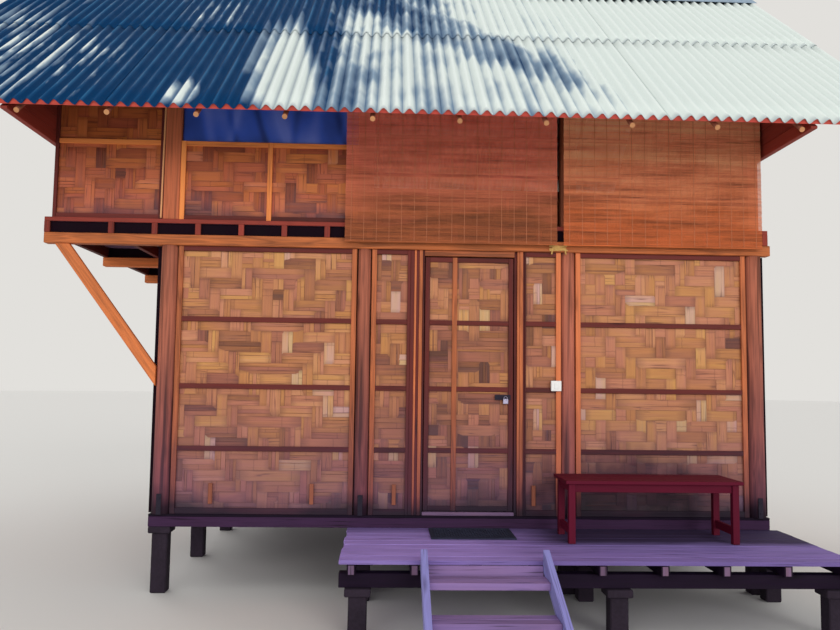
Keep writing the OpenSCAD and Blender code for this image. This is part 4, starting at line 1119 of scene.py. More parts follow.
class STILTHOUSE_OT_logs(Operator):
    """Makes the peeled logs of the lower storey and the steel straps at their feet"""
    bl_idname = "stilt_house.logs"
    bl_label = "Logs and straps"

    def execute(self, context):
        starts, ends, radii = [], [], []
        for lo, hi in solids("lower_posts"):
            x, y, _ = (lo + hi) / 2
            starts.append((x, y, lo[2]))
            ends.append((x, y, hi[2]))
            radii.append((hi[0] - lo[0]) / 2)
        logs = Parts(31)
        taper = sizes().log_taper / (2 * max(radii))
        logs.poles(POLE, starts, ends, radii, taper=taper, lumps=0.02)
        logs.make("peeled_logs", "log_wood", "log_wood", ["lower_posts"], smooth=True)
        self.joint_strips(starts, ends, radii)
        straps, bolts = Batch(), Parts(32)
        for lo, hi in solids("post_straps"):
            straps.box(lo, hi, 2)
            for up in (0.25, 0.75):
                at = np.array([(lo[0] + hi[0]) / 2, lo[1], lo[2] + up * (hi[2] - lo[2])])
                bolts.pole(BOLT, at + (0, 0.002, 0), at - (0, 0.004, 0), 0.009)
        straps.into(bolts, BOARD, bevel=0.0012)
        bolts.make("foot_straps", "strap_steel", "strap_steel", ["post_straps"])
        return {"FINISHED"}

    def joint_strips(self, starts, ends, radii):
        """Near-black boards inside the logs of the front and back, painted shade that closes the slits
        beside them.
        """
        past, near, far = 0.035, 0.034, 0.044
        strips = Batch()
        lines = [min(at[1] for at in starts), max(at[1] for at in starts)]
        for (x, y, foot), (_, _, top), radius in zip(starts, ends, radii):
            for line, inwards in zip(lines, (1, -1)):
                if abs(y - line) < radius:
                    y0, y1 = sorted((y + inwards * near, y + inwards * far))
                    strips.box((x - radius - past, y0, foot), (x + radius + past, y1, top), 2)
        strips.piece("joint_strips", "dark_board", "brown_timber", 33, blank=BOARD)


class STILTHOUSE_OT_front_walls(Operator):
    """Makes the woven panels of the lower storey's front"""
    bl_idname = "stilt_house.front_walls"
    bl_label = "Front wall panels"

    def execute(self, context):
        s, wall = sizes(), front_wall()
        looks = {"front_wall_left": dict(FRONT_LOOK, turn=9),
                 "door_side_left": dict(FRONT_LOOK, turn=2, phase=2, pale=0.05, tone=0.36),
                 "door_side_right": dict(FRONT_LOOK, turn=0, phase=1, pale=0.05, tone=0.36),
                 "front_wall_right": dict(SMOOTH_LOOK, turn=8, phase=3)}
        ends = {"door_side_left": ((1, False), (0.6, True)), "door_side_right": ((0.3, True), (1, False))}
        for seed, (node, look) in enumerate(looks.items()):
            lo, hi = box_of(node)
            panels = Panels(41 + 10 * seed)
            panels.panel(wall, lo[0], hi[0], lo[2], hi[2], lower_rails(), look, foot=s.foot_rail_w,
                         ends=ends.get(node, ENDS))
            panels.make(node.replace("_wall", "_panel"), node, "golden_weave", "woven_bamboo",
                        "batten_timber")
        cleats = Batch()
        half, tall = 0.016, 0.165
        foot = box_of("ground_floor")[1][2] + s.foot_rail_w * 0.5 + 0.06
        for x in CLEATS_X:
            cleats.add(*wall.board(x - half, x + half, -s.batten_t - half, 0.002 - s.batten_t,
                                   foot, foot + tall, upright=True))
        cleats.piece("foot_cleats", "pole_wood", "orange_timber", 90, bevel=0.003)
        return {"FINISHED"}


def side_wall(node, left):
    """A side or gable wall's plane, with local x equal to the frame's Y."""
    lo, hi = box_of(node)
    face = lo[0] + sizes().batten_t if left else hi[0] - sizes().batten_t
    return Wall((face, 0, 0), (0, 1, 0), (-1, 0, 0) if left else (1, 0, 0))


def back_wall(node):
    """A back wall's plane, with local x equal to the frame's X."""
    _, hi = box_of(node)
    return Wall((0, hi[1] - sizes().batten_t, 0), (1, 0, 0), (0, 1, 0))


class STILTHOUSE_OT_side_walls(Operator):
    """Makes the woven panels of the lower storey's sides and back"""
    bl_idname = "stilt_house.side_walls"
    bl_label = "Side and back wall panels"

    def execute(self, context):
        for seed, (node, wall, along) in enumerate((("left_wall", side_wall("left_wall", True), 1),
                                                    ("right_wall", side_wall("right_wall", False), 1),
                                                    ("back_wall", back_wall("back_wall"), 0))):
            panels = Panels(101 + 10 * seed)
            for bay, (lo, hi) in enumerate(solids(node)):
                look = dict(SIDE_LOOK, phase=bay + seed, turn=5 + 3 * bay)
                panels.panel(wall, lo[along], hi[along], lo[2], hi[2], lower_rails(), look,
                             foot=sizes().foot_rail_w)
            panels.make(node.replace("_wall", "_panels"), node, "golden_weave", "woven_bamboo",
                        "batten_timber")
        return {"FINISHED"}


class STILTHOUSE_OT_door(Operator):
    """Makes the door leaf with its mats, the jambs, head and threshold, and finishes the hinges"""
    bl_idname = "stilt_house.door"
    bl_label = "Door"

    def execute(self, context):
        s = sizes()
        self.jambs()
        dressed_boards("doorway_head", "door_head", 0, "batten_timber", "orange_timber", 142)
        dressed_boards("doorway_threshold", "door_threshold", 0, "brown_timber", "brown_timber", 143)
        lo, hi = box_of("door_leaf")
        wall = Wall((0, lo[1], 0), (1, 0, 0), (0, -1, 0))
        thick = hi[1] - lo[1]
        leaf, mullion = Panels(146), Batch()
        uprights = [lo[0], lo[0] + s.mullion_in, hi[0] - s.stile_w]
        for batch, x in zip((leaf.stiles, mullion, leaf.stiles), uprights):
            batch.add(*wall.board(x, x + s.stile_w, 0, thick, lo[2], hi[2], upright=True))
        for z in [lo[2]] + lower_rails() + [hi[2] - s.rail_w]:
            for left, right in zip(uprights, uprights[1:]):
                leaf.rails.add(*wall.board(left + s.stile_w, right, 0.002, thick - 0.002,
                                           z, z + s.rail_w))
        leaf.mat(wall, lo[0] + s.stile_w / 2, hi[0] - s.stile_w / 2, lo[2], hi[2],
                 dict(FRONT_LOOK, turn=4, phase=4, pale=0.05, tone=0.31, spread=0.13),
                 (thick - s.mat_t) / 2)
        for batch, name, look, seed in ((leaf.stiles, "door_stiles", "maroon_timber", 151),
                                        (mullion, "door_mullion", "batten_timber", 152),
                                        (leaf.rails, "door_rails", "maroon_timber", 153)):
            batch.piece(name, look, "woven_bamboo", seed, ["door_leaf"], body=DOOR)
        leaf.slats.make("door_slats", "golden_weave", "woven_bamboo", ["door_leaf"], DOOR)
        for batch, name, look in ((leaf.cores, "door_core", "mat_core"),
                                  (leaf.mats, "door_inner_mat", "inner_mat")):
            batch.piece(name, look, "woven_bamboo", 147, ["door_leaf"], BOARD, DOOR)
        coat("door_hinges", "hinge_steel")
        coat("jamb_hinges", "hinge_steel")
        return {"FINISHED"}

    def jambs(self):
        """The doorway's sides: upright strips side by side, some set back."""
        batches = {"maroon_timber": Batch(), "batten_timber": Batch()}
        for (lo, hi), strips in zip(solids("door_jambs"), JAMB_STRIPS):
            wide = hi[0] - lo[0]
            for look, start, end, back in strips:
                batches[look].box((lo[0] + start * wide, lo[1] + back, lo[2]),
                                  (lo[0] + end * wide, hi[1], hi[2]), 2)
        for seed, (look, batch) in enumerate(batches.items()):
            batch.piece("jamb_strips_" + look.split("_")[0], look, "orange_timber", 141 + 5 * seed,
                        ["door_jambs"])


class STILTHOUSE_OT_fittings(Operator):
    """Makes the hasp with its padlock, and the switch box"""
    bl_idname = "stilt_house.fittings"
    bl_label = "Latch and switch"

    def execute(self, context):
        s = sizes()
        lo, hi = box_of("door_latch")
        plate, case, rocker = Batch(), Batch(), Batch()
        plate_z0 = hi[2] - s.hasp_h
        plate.box((lo[0], hi[1] - s.hinge_plate_t, plate_z0), hi, 0)
        hasp = Parts(161)
        plate.into(hasp, SOFT_BOARD, bevel=0.0012)
        for up in (0.2, 0.8):
            for x in (lo[0] + 0.012, hi[0] - 0.02):
                at = np.array([x, hi[1] - s.hinge_plate_t, plate_z0 + up * s.hasp_h])
                hasp.pole(SCREW, at, at - (0, 0.0025, 0), 0.005)
        hasp.make("hasp", "strap_steel", "latch_steel", ["door_latch"], DOOR)
        self.padlock(hi[0] - s.hasp_l / 3, lo[1] + 0.001, lo[2], s.padlock_w)
        lo, hi = box_of("switch_box")
        x, _, z = (lo + hi) / 2
        case.box((lo[0], lo[1] + 0.004, lo[2]), hi, 2)
        rocker.box((x - 0.016, lo[1], z - 0.022), (x + 0.016, lo[1] + 0.006, z + 0.022), 2)
        switch = Parts(162)
        case.into(switch, ROUND_BOARD, bevel=0.005)
        rocker.into(switch, SOFT_BOARD)
        switch.make("light_switch", "switch_plastic", "switch_plastic", ["switch_box"])
        return {"FINISHED"}

    def padlock(self, x, y, z, wide):
        """The lock's body, given by its middle along X, its face and its foot, and its shackle."""
        body = Batch()
        body.box((x - wide / 2, y, z), (x + wide / 2, y + wide / 2, z + wide), 2)
        body.piece("padlock", "latch_steel", "latch_steel", 163, ["door_latch"], ROUND_BOARD, DOOR,
                   bevel=0.006)
        ring = bmesh.new()
        circle = bmesh.ops.create_circle(ring, segments=10, radius=wide / 14)
        stand = Matrix.Rotation(math.pi / 2, 3, "X")
        bmesh.ops.rotate(ring, verts=circle["verts"], matrix=stand)
        radius = wide / 3.4
        bmesh.ops.translate(ring, verts=circle["verts"], vec=(radius, 0, 0))
        bmesh.ops.spin(ring, geom=ring.edges[:], cent=(0, 0, 0), axis=(0, 0, 1), angle=2 * math.pi,
                       steps=32, use_merge=True)
        bmesh.ops.remove_doubles(ring, verts=ring.verts[:], dist=1e-5)
        bmesh.ops.rotate(ring, verts=ring.verts[:], matrix=stand)
        bmesh.ops.translate(ring, verts=ring.verts[:], vec=(x, y + wide / 4, z + wide + radius * 0.4))
        dress(from_bmesh("lock_shackle", ring), "latch_steel", ["door_latch"], DOOR,
              smooth=True)


# Width of the boards along the front and back of the upper floor
EDGE_BOARD = 0.02


class STILTHOUSE_OT_upper_floor(Operator):
    """Makes the beams, joists and boards of the upper floor, and the braces under its overhang"""
    bl_idname = "stilt_house.upper_floor"
    bl_label = "Upper floor"

    def execute(self, context):
        dressed_boards("storey_beams", "upper_beams", 0, "orange_timber", "orange_timber", 171,
                       bevel=0.005)
        dressed_boards("storey_joists", "upper_joists", 1, "maroon_timber", "red_timber", 172)
        planks("storey_planks", "upper_floor", 0.16, "brown_timber", "red_timber", 173,
               inside=EDGE_BOARD)
        self.edges()
        self.braces()
        return {"FINISHED"}

    def edges(self):
        """Red boards along the floor's front and back, joist ends, and near-black blocking between the
        joists as painted shade.
        """
        lo, hi = box_of("upper_floor")
        proud, tip, half = 0.0005, 0.012, 0.02
        edges, blocks = Batch(), Batch()
        edges.box(lo, (hi[0], lo[1] + EDGE_BOARD, hi[2]), 0)
        edges.box((lo[0], hi[1] - EDGE_BOARD, lo[2]), hi, 0)
        joists = solids("upper_joists")
        for a, b in joists:
            edges.box((a[0] - proud, a[1] - proud, a[2]), (b[0] + proud, a[1] + tip, b[2]), 2)
        beams = [(a[1] + b[1]) / 2 for a, b in solids("upper_beams")]
        for (a, b), (c, _) in zip(joists, joists[1:]):
            for y in beams:
                blocks.box((b[0] - 0.002, y - half, a[2] + 0.001), (c[0] + 0.002, y + half, b[2]), 0)
        edges.piece("floor_edges", "red_timber", "red_timber", 175, ["upper_floor"])
        blocks.piece("joist_blocking", "dark_board", "red_timber", 176)

    def braces(self):
        """Planks cut level under the beam and plumb against the log."""
        outlines = []
        for lo, hi in solids("cantilever_braces"):
            wide, tall = hi[0] - lo[0], hi[2] - lo[2]
            run = math.atan2(tall, wide)
            level, plumb = sizes().brace_w / math.sin(run), sizes().brace_w / math.cos(run)
            outlines.append(([(x, lo[1], z) for x, z in (
                (lo[0], hi[2]), (lo[0] + level, hi[2]), (hi[0], lo[2] + plumb), (hi[0], lo[2]))],
                hi[1] - lo[1]))
        piece = bars("overhang_braces", outlines, (0, 1, 0), (1, 0, -tall / wide))
        dress(piece, "orange_timber", ["cantilever_braces"])


def cut_under_roof(piece, n):
    """Cuts a piece by both roof planes, n above the sheets' underside, and closes the cuts."""
    shape = bmesh.new()
    shape.from_mesh(piece.data)
    for front in (True, False):
        slope = Slope(front)
        bisect(shape, slope.at(0, 0, n), slope.out, clear_outer=True)
        bmesh.ops.holes_fill(shape, edges=[e for e in shape.edges if e.is_boundary], sides=0)
    shape.to_mesh(piece.data)
    shape.free()


class STILTHOUSE_OT_upper_posts(Operator):
    """Makes the upper storey's posts, the wall plates, the ridge beam and the gable ties"""
    bl_idname = "stilt_house.upper_posts"
    bl_label = "Upper posts and roof beams"

    def execute(self, context):
        s = sizes()
        posts = dressed_boards("storey_posts", "upper_posts", 2, "post_timber", "orange_timber", 181,
                               bevel=0.005)
        cut_under_roof(posts, -s.roof_batten_t - s.rafter_d)
        dressed_boards("plates_and_ridge", "roof_beams", 0, "red_timber", "red_timber", 182,
                       bevel=0.005)
        self.ties()
        return {"FINISHED"}

    def ties(self):
        """The beams across the gables, and boards over them that close the eaves."""
        s = sizes()
        lo, hi = box_of("gable_ties")
        wall_lo, wall_hi = box_of("upper_left_wall")
        board_h, seam = 0.13, 0.001
        ties, wings = Batch(), Batch()
        for a, b in solids("gable_ties"):
            if b[1] - a[1] >= (hi[1] - lo[1]) / 2:
                ties.box(a, (b[0], b[1], a[2] + s.tie_h), 1)
            x0, x1 = (b[0] - s.wing_t, b[0]) if a[0] < 0 else (a[0], a[0] + s.wing_t)
            z = lo[2] + s.tie_h
            while z < b[2] - 0.005:
                top = min(z + board_h, b[2])
                for y0, y1 in ((lo[1], wall_lo[1]), (wall_hi[1], hi[1])):
                    wings.box((x0, y0, z + seam), (x1, y1, top - seam), 1)
                z = top
        parts = Parts(183)
        ties.into(parts, bevel=0.004)
        wings.into(parts, bevel=0.0015)
        piece = parts.make("gable_ties_and_boards", "red_timber", "red_timber", ["gable_ties"])
        cut_under_roof(piece, -s.roof_batten_t)


class STILTHOUSE_OT_roof_frame(Operator):
    """Makes the pole rafters and the roof battens"""
    bl_idname = "stilt_house.roof_frame"
    bl_label = "Rafters and battens"

    def execute(self, context):
        s = sizes()
        poles, starts, ends = Parts(191), [], []
        boards, eaves, tips = Batch(), Batch(), Parts(193)
        depth = -s.roof_batten_t - s.rafter_d / 2
        for front in (True, False):
            slope = Slope(front)
            for lo, hi in solids("rafters"):
                if (lo[1] < 0) != front:
                    continue
                x = (lo[0] + hi[0]) / 2
                starts.append(slope.at(x, slope.length - s.ridge_w * 0.9, depth))
                ends.append(slope.at(x, s.batten_end, depth))
                tips.pole(POLE_END, ends[-1] + slope.up * 0.006, ends[-1] - slope.up * 0.0015,
                          s.rafter_d * 0.39)
            axes = np.array([(1, 0, 0), slope.up, slope.out])
            step = (slope.length - s.first_batten_up - 2 * s.roof_batten_w) / (s.roof_battens_n - 1)
            half = ((slope.x1 - slope.x0) / 2 - s.batten_end, s.roof_batten_w / 2,
                    s.roof_batten_t / 2 - s.seat)
            for k in range(s.roof_battens_n):
                up = s.first_batten_up + s.roof_batten_w / 2 + k * step
                middle = slope.at((slope.x0 + slope.x1) / 2, up, -s.roof_batten_t / 2)
                (boards if k else eaves).add(middle, axes, half)
        poles.poles(RAFTER, starts, ends, [s.rafter_d / 2] * len(starts), taper=0.22, lumps=0.03)
        poles.make("rafter_poles", "pole_wood", "log_wood", ["rafters"], smooth=True)
        # Pale caps on the rafters' ends: cut end grain, partly painted light on the ends
        tips.make("rafter_ends", "pale_wood", "log_wood", ["rafters"])
        boards.piece("sheet_battens", "red_timber", "red_timber", 192, ["roof_battens"])
        # The eave batten gets a lighter red: painted light against its shade
        eaves.piece("eave_battens", "eave_timber", "red_timber", 194, ["roof_battens"])
        return {"FINISHED"}


class STILTHOUSE_OT_roof(Operator):
    """Makes the corrugated sheets of both slopes and the ridge cap"""
    bl_idname = "stilt_house.roof"
    bl_label = "Roof sheets"

    def execute(self, context):
        s = sizes()
        lap = s.sheet_t + s.seat
        for side, slope, seed in (("front", Slope(True), 201), ("back", Slope(False), 211)):
            for course, s0, s1, n in (("low", 0.0, s.course_len + s.course_lap, 0.0),
                                      ("high", s.course_len, slope.length - 0.006, 2 * lap)):
                self.course(f"{side}_{course}_sheets", f"roof_{side}_{course}", slope, s0, s1, n,
                            seed + len(course))
            self.closure(side, slope)
        coat("ridge_cap", "ridge_green")
        return {"FINISHED"}

    def closure(self, side, slope):
        """A strip cut to the waves that closes them just inside the eave."""
        s = sizes()
        inside, foot, slack, thick = 0.01, -0.004, 0.0008, 0.014
        waves = round((slope.x1 - slope.x0) / s.wave_w)
        shape = bmesh.new()
        bmesh.ops.create_grid(shape, x_segments=waves * s.wave_points, y_segments=1, size=0.5)
        for v in shape.verts:
            x = (v.co.x + 0.5) * waves
            top = s.wave_h * wave_height(x) - slack
            v.co = slope.at(slope.x0 + x * s.wave_w, inside, top if v.co.y > 0 else foot)
        extrude(shape, shape.faces[:], Vector(slope.up) * thick)
        piece = from_bmesh(side + "_eave_closure", shape)
        grain_map(piece, (1, 0, 0))
        # A lighter red: painted light against the shade at the eave
        dress(piece, "eave_timber")

    def course(self, name, node, slope, s0, s1, n, seed):
        """Sheets side by side from s0 to s1 up the slope, with every second one over its neighbours."""
        s = sizes()
        waves = round((slope.x1 - slope.x0) / s.wave_w)
        parts = Parts(seed)
        axes = [[(slope.turn, 0, 0), slope.up, slope.out]]
        for index, first in enumerate(range(0, waves - 1, s.sheet_waves - 1)):
            count = min(s.sheet_waves, waves - first)
            blank = sheet_blank(count, s.wave_points, 6, s.sheet_t / s.wave_h)
            local = blank.co[None] * (s.wave_w, s1 - s0, s.wave_h)
            up = (index % 2) * (s.sheet_t + s.seat)
            start = first if slope.turn > 0 else first + count
            origin = slope.at(slope.x0 + start * s.wave_w, s0, n + up)
            parts.put(blank, local, [origin], axes, [parts.rng.uniform(0, 1)])
        parts.make(name, "roof_green", "roof_sheet", [node], smooth=True)


class STILTHOUSE_OT_upper_walls(Operator):
    """Makes the woven panels of the upper storey"""
    bl_idname = "stilt_house.upper_walls"
    bl_label = "Upper wall panels"

    def execute(self, context):
        s, wall = sizes(), front_wall()
        floor = box_of("upper_floor")[1][2]
        sill = floor + s.window_sill_h - s.rail_w
        lo, hi = box_of("upper_corner_panel")
        narrow = 0.7
        panels = Panels(221)
        panels.panel(wall, lo[0], hi[0], lo[2], hi[2], [], dict(UPPER_LOOK, turn=4, phase=2),
                     ends=((narrow, True), (1, True)))
        panels.stiles.add(*wall.board(lo[0] + narrow * s.stile_w, hi[0] - s.stile_w,
                                      RAIL_BACK - s.batten_t, 0.0, sill, sill + s.rail_w))
        panels.make("corner_panel", "upper_corner_panel", "brown_weave", "dark_bamboo", "upper_timber")
        self.stick(wall, lo, hi)
        lo, hi = box_of("upper_window_panel")
        panels = Panels(231)
        panels.panel(wall, lo[0], hi[0], lo[2], hi[2], [], dict(UPPER_LOOK, turn=8),
                     [(lo[0] + hi[0] - s.stile_w) / 2])
        foot_rails, top_rails = panels.rails.rows[:2], panels.rails.rows[2:]
        panels.rails.rows = foot_rails
        panels.stiles.rows += top_rails
        panels.make("window_panel", "upper_window_panel", "brown_weave", "dark_bamboo", "upper_timber")
        wall = back_wall("upper_back_wall")
        panels = Panels(241)
        for bay, (lo, hi) in enumerate(solids("upper_back_wall")):
            panels.panel(wall, lo[0], hi[0], lo[2], hi[2], [sill], dict(SIDE_LOOK, phase=bay, turn=5),
                         [(lo[0] + hi[0] - s.stile_w) / 2])
        panels.make("upper_back_panels", "upper_back_wall", "brown_weave", "dark_bamboo")
        rails = [floor + k * s.window_sill_h - s.rail_w for k in (1, 2, 3)]
        self.gable("upper_left_wall", True, rails, 0)
        self.gable("upper_right_wall", False, rails, 1)
        return {"FINISHED"}

    def stick(self, wall, lo, hi):
        """A thin pole that leans in the corner beside the left panel."""
        s = sizes()
        foot = wall.at(hi[0] - 0.4 * s.stile_w, -s.batten_t - 0.004, lo[2] + 0.01)
        top = wall.at(hi[0] - 0.15 * s.stile_w, -s.batten_t - 0.004, hi[2] - 0.02)
        stick = Parts(229)
        stick.pole(THIN_POLE, foot, top, 0.008, lumps=0.1)
        stick.make("leaning_stick", "pale_wood", "orange_timber")

    def gable(self, node, left, rails, seed):
        """A gable wall: full bays of mat and battens, which the roof's planes cut."""
        s, wall, panels = sizes(), side_wall(node, left), Panels(251 + 10 * seed)
        for bay, (lo, hi) in enumerate(solids(node)):
            span = (lo[1], hi[1], lo[2], hi[2])
            levels = [(lo[2], s.foot_rail_w)] + [(z, s.rail_w) for z in rails if z <= hi[2] - s.rail_w]
            panels.mat(wall, *span, dict(SIDE_LOOK, phase=bay + seed, turn=6))
            panels.battens(wall, *span, levels, [(lo[1] + hi[1] - s.stile_w) / 2], sunk=0)
        self.rakes(panels, wall, node)
        panels.make(node.replace("_wall", "_panels"), node, "brown_weave", "dark_bamboo",
                    trim=lambda piece: cut_under_roof(piece, -s.roof_batten_t))

    def rakes(self, panels, wall, node):
        """Battens along the slopes at the top of a gable wall."""
        s = sizes()
        lo, hi = box_of(node)
        deep = s.batten_t / 2 - RAIL_BACK / 2
        for front in (True, False):
            slope = Slope(front)
            s0, s1 = slope.up_to(lo[1] if front else hi[1]), slope.up_to((lo[1] + hi[1]) / 2)
            middle = slope.at(wall.origin[0], (s0 + s1) / 2, -s.roof_batten_t - s.rail_w / 2)
            panels.rails.add(middle + wall.out * deep, [slope.up, slope.out, wall.out],
                             ((s1 - s0) / 2, s.rail_w / 2, deep))


class STILTHOUSE_OT_tarp(Operator):
    """Makes the plastic sheet that hangs in the window opening"""
    bl_idname = "stilt_house.tarp"
    bl_label = "Window tarp"

    def execute(self, context):
        lo, hi = box_of("window_tarp")
        side, end = 0.004, 0.003
        shape = bmesh.new()
        bmesh.ops.create_grid(shape, x_segments=90, y_segments=30, size=0.5)
        for v in shape.verts:
            across, up = v.co.x + 0.5, v.co.y + 0.5
            v.co = (lo[0] + side + across * (hi[0] - lo[0] - 2 * side),
                    lo[1] + self.fold(across, up, hi[1] - lo[1]),
                    lo[2] + end + up * (hi[2] - lo[2] - 2 * end))
        piece = from_bmesh("window_tarp_sheet", shape)
        if piece.data.polygons[0].normal.y > 0:
            piece.data.flip_normals()
        # Painted light and shade of the folds: the further forward a point stands, the paler it is
        set_shade(piece.data, [(1 - (v.co.y - lo[1]) / (hi[1] - lo[1]), 0, 0)
                               for v in piece.data.vertices])
        solid = piece.modifiers.new("Thickness", "SOLIDIFY")
        solid.thickness = 0.0012
        solid.offset = -1
        dress(piece, "tarp_blue", ["window_tarp"], smooth=True)
        return {"FINISHED"}

    def fold(self, across, up, depth):
        """Depth of the cloth: soft waves, and slanting creases that run from edge to edge."""
        folds = math.sin(across * 17 + 1.2 * math.sin(up * 2.2)) * 0.1
        folds += math.sin(across * 7 + 5 * up) * 0.14
        for top, foot, width, size in CREASES:
            off = (across - (foot + (top - foot) * up)) / width
            folds += size * math.exp(-off * off)
        return depth * min(0.93, max(0.02, 0.5 + folds))


class STILTHOUSE_OT_blinds(Operator):
    """Makes the two reed blinds with their warp threads, and the rails that carry them"""
    bl_idname = "stilt_house.blinds"
    bl_label = "Reed blinds"

    def execute(self, context):
        dressed_boards("blind_carrying_rails", "blind_rails", 0, "brown_timber", "brown_timber", 301)
        self.blind("left", "reed_brown", 302)
        self.blind("right", "reed_orange", 312)
        self.cord()
        return {"FINISHED"}

    def cord(self):
        """A pale cord knotted on the beam, under the gap between the blinds."""
        gap = (box_of("reed_blind_left")[1][0] + box_of("reed_blind_right")[0][0]) / 2
        (_, y, foot), _ = box_of("upper_beams")
        z, round_beam, hanging = foot + 0.03, y - 0.003, y - 0.004
        turns, radius, spread = 9, 0.0075, (-0.022, 0.03)
        rng = np.random.default_rng(309)
        starts, ends = [], []
        for _ in range(turns):
            left, right = gap - rng.uniform(0.04, 0.085), gap + rng.uniform(0.03, 0.075)
            starts.append((left, round_beam, z + rng.uniform(*spread)))
            ends.append((right, round_beam, z + rng.uniform(*spread)))
        for x in (gap - 0.05, gap + 0.045):
            starts.append((x, hanging, z + 0.02))
            ends.append((x + rng.normal(0, 0.012), hanging, z - 0.05))
        cord = Parts(310)
        cord.poles(THIN_POLE, starts, ends, [radius] * len(starts), lumps=0.1)
        cord.make("knotted_cord", "cord", "reed")

    def blind(self, side, look, seed):
        """Reeds from side to side over a rod at the foot, and pairs of threads down both faces."""
        s = sizes()
        node = "reed_blind_" + side
        lo, hi = box_of(node)
        rod = s.blind_rod_d / 2
        y = (lo[1] + hi[1]) / 2
        reeds_made, threads = Parts(seed), Batch()
        rng = reeds_made.rng
        height = hi[2] - lo[2] - 2 * rod
        count = round(height / s.reed_step)
        heights = lo[2] + 2 * rod + (np.arange(count) + 0.5) * height / count
        inset = rng.uniform(0, 0.004, (count, 2))
        starts = np.stack([lo[0] + inset[:, 0], np.full(count, y), heights], axis=1)
        ends = np.stack([hi[0] - inset[:, 1], np.full(count, y), heights], axis=1)
        radii = s.reed_step * rng.uniform(0.40, 0.485, count)
        band = np.repeat(rng.normal(0.45, 0.15, count), rng.integers(2, 9, count))[:count]
        tones = np.clip(band + rng.normal(0, 0.05, count), 0, 1)
        reeds_made.poles(REED, starts, ends, radii, lumps=0.05, tones=tones)
        reeds_made.pole(THIN_POLE, (lo[0], y, lo[2] + rod), (hi[0], y, lo[2] + rod), rod,
                        lumps=0.02, tones=[0.5])
        reeds_made.make(f"blind_{side}_reeds", look, "reed", [node])
        lines = round((hi[0] - lo[0]) / s.thread_step)
        reach = s.reed_step * 0.42
        for k in range(lines):
            x = lo[0] + (k + 0.5) * (hi[0] - lo[0]) / lines + rng.normal(0, 0.002)
            for y0, y1 in ((lo[1] + 0.0006, y - reach), (y + reach, hi[1] - 0.0006)):
                for up in range(0, count, 2):
                    z = heights[up]
                    lean = 0.0007 * (1 if up % 4 else -1)
                    threads.box((x - s.thread_w / 2 + lean, y0, z - s.reed_step),
                                (x + s.thread_w / 2 + lean, y1, z + s.reed_step * 0.9), 2)
        threads.piece(f"blind_{side}_threads", "thread", "reed", seed + 1, [node], STITCH, bevel=0.0)


class STILTHOUSE_OT_deck(Operator):
    """Makes the porch deck: weathered boards on joists and beams"""
    bl_idname = "stilt_house.deck"
    bl_label = "Porch deck"

    def execute(self, context):
        dressed_boards("deck_joists_and_beams", "deck_frame", None, "rim_timber", "brown_timber", 321)
        tips, trim = Batch(), 0.008
        for lo, hi in solids("deck_frame"):
            if hi[1] - lo[1] > hi[0] - lo[0]:
                tips.box((lo[0] + trim, lo[1] - 0.0005, lo[2] + trim),
                         (hi[0] - trim, lo[1] + 0.01, hi[2] - trim / 2), 2)
        tips.piece("deck_joist_ends", "brown_timber", "brown_timber", 323, ["deck_frame"], BOARD)
        boards, parts = Batch(), Parts(322)
        for lo, hi in solids("deck_boards"):
            left, right = parts.rng.uniform(0, 0.012, 2)
            sunk = parts.rng.uniform(0, 0.003)
            boards.box((lo[0] + left, lo[1], lo[2]), (hi[0] - right, hi[1], hi[2] - sunk), 0)
        boards.into(parts, WORN_BOARD, bevel=0.004)
        parts.make("weathered_boards", "deck_wood", "deck_wood", ["deck_boards"])
        return {"FINISHED"}


class STILTHOUSE_OT_stair(Operator):
    """Makes the stair: two sloping stringers and treads of two boards each"""
    bl_idname = "stilt_house.stair"
    bl_label = "Porch stair"

    def execute(self, context):
        s = sizes()
        slope = s.stair_rise / s.stair_going
        outlines = []
        for lo, hi in solids("stair_stringers"):
            foot_top, under = hi[2] - slope * (hi[1] - lo[1]), hi[2] - s.stringer_h
            outline = ((hi[1], hi[2]), (lo[1], foot_top), (lo[1], 0), (hi[1] - under / slope, 0),
                       (hi[1], under))
            outlines.append(([(lo[0], y, z) for y, z in outline], hi[0] - lo[0]))
        piece = bars("sloping_stringers", outlines, (1, 0, 0), (0, 1, slope))
        dress(piece, "stringer_wood", ["stair_stringers"])
        dressed_boards("worn_treads", "stair_treads", 0, "tread_wood", "deck_wood", 331, 0.005,
                       WORN_BOARD)
        return {"FINISHED"}


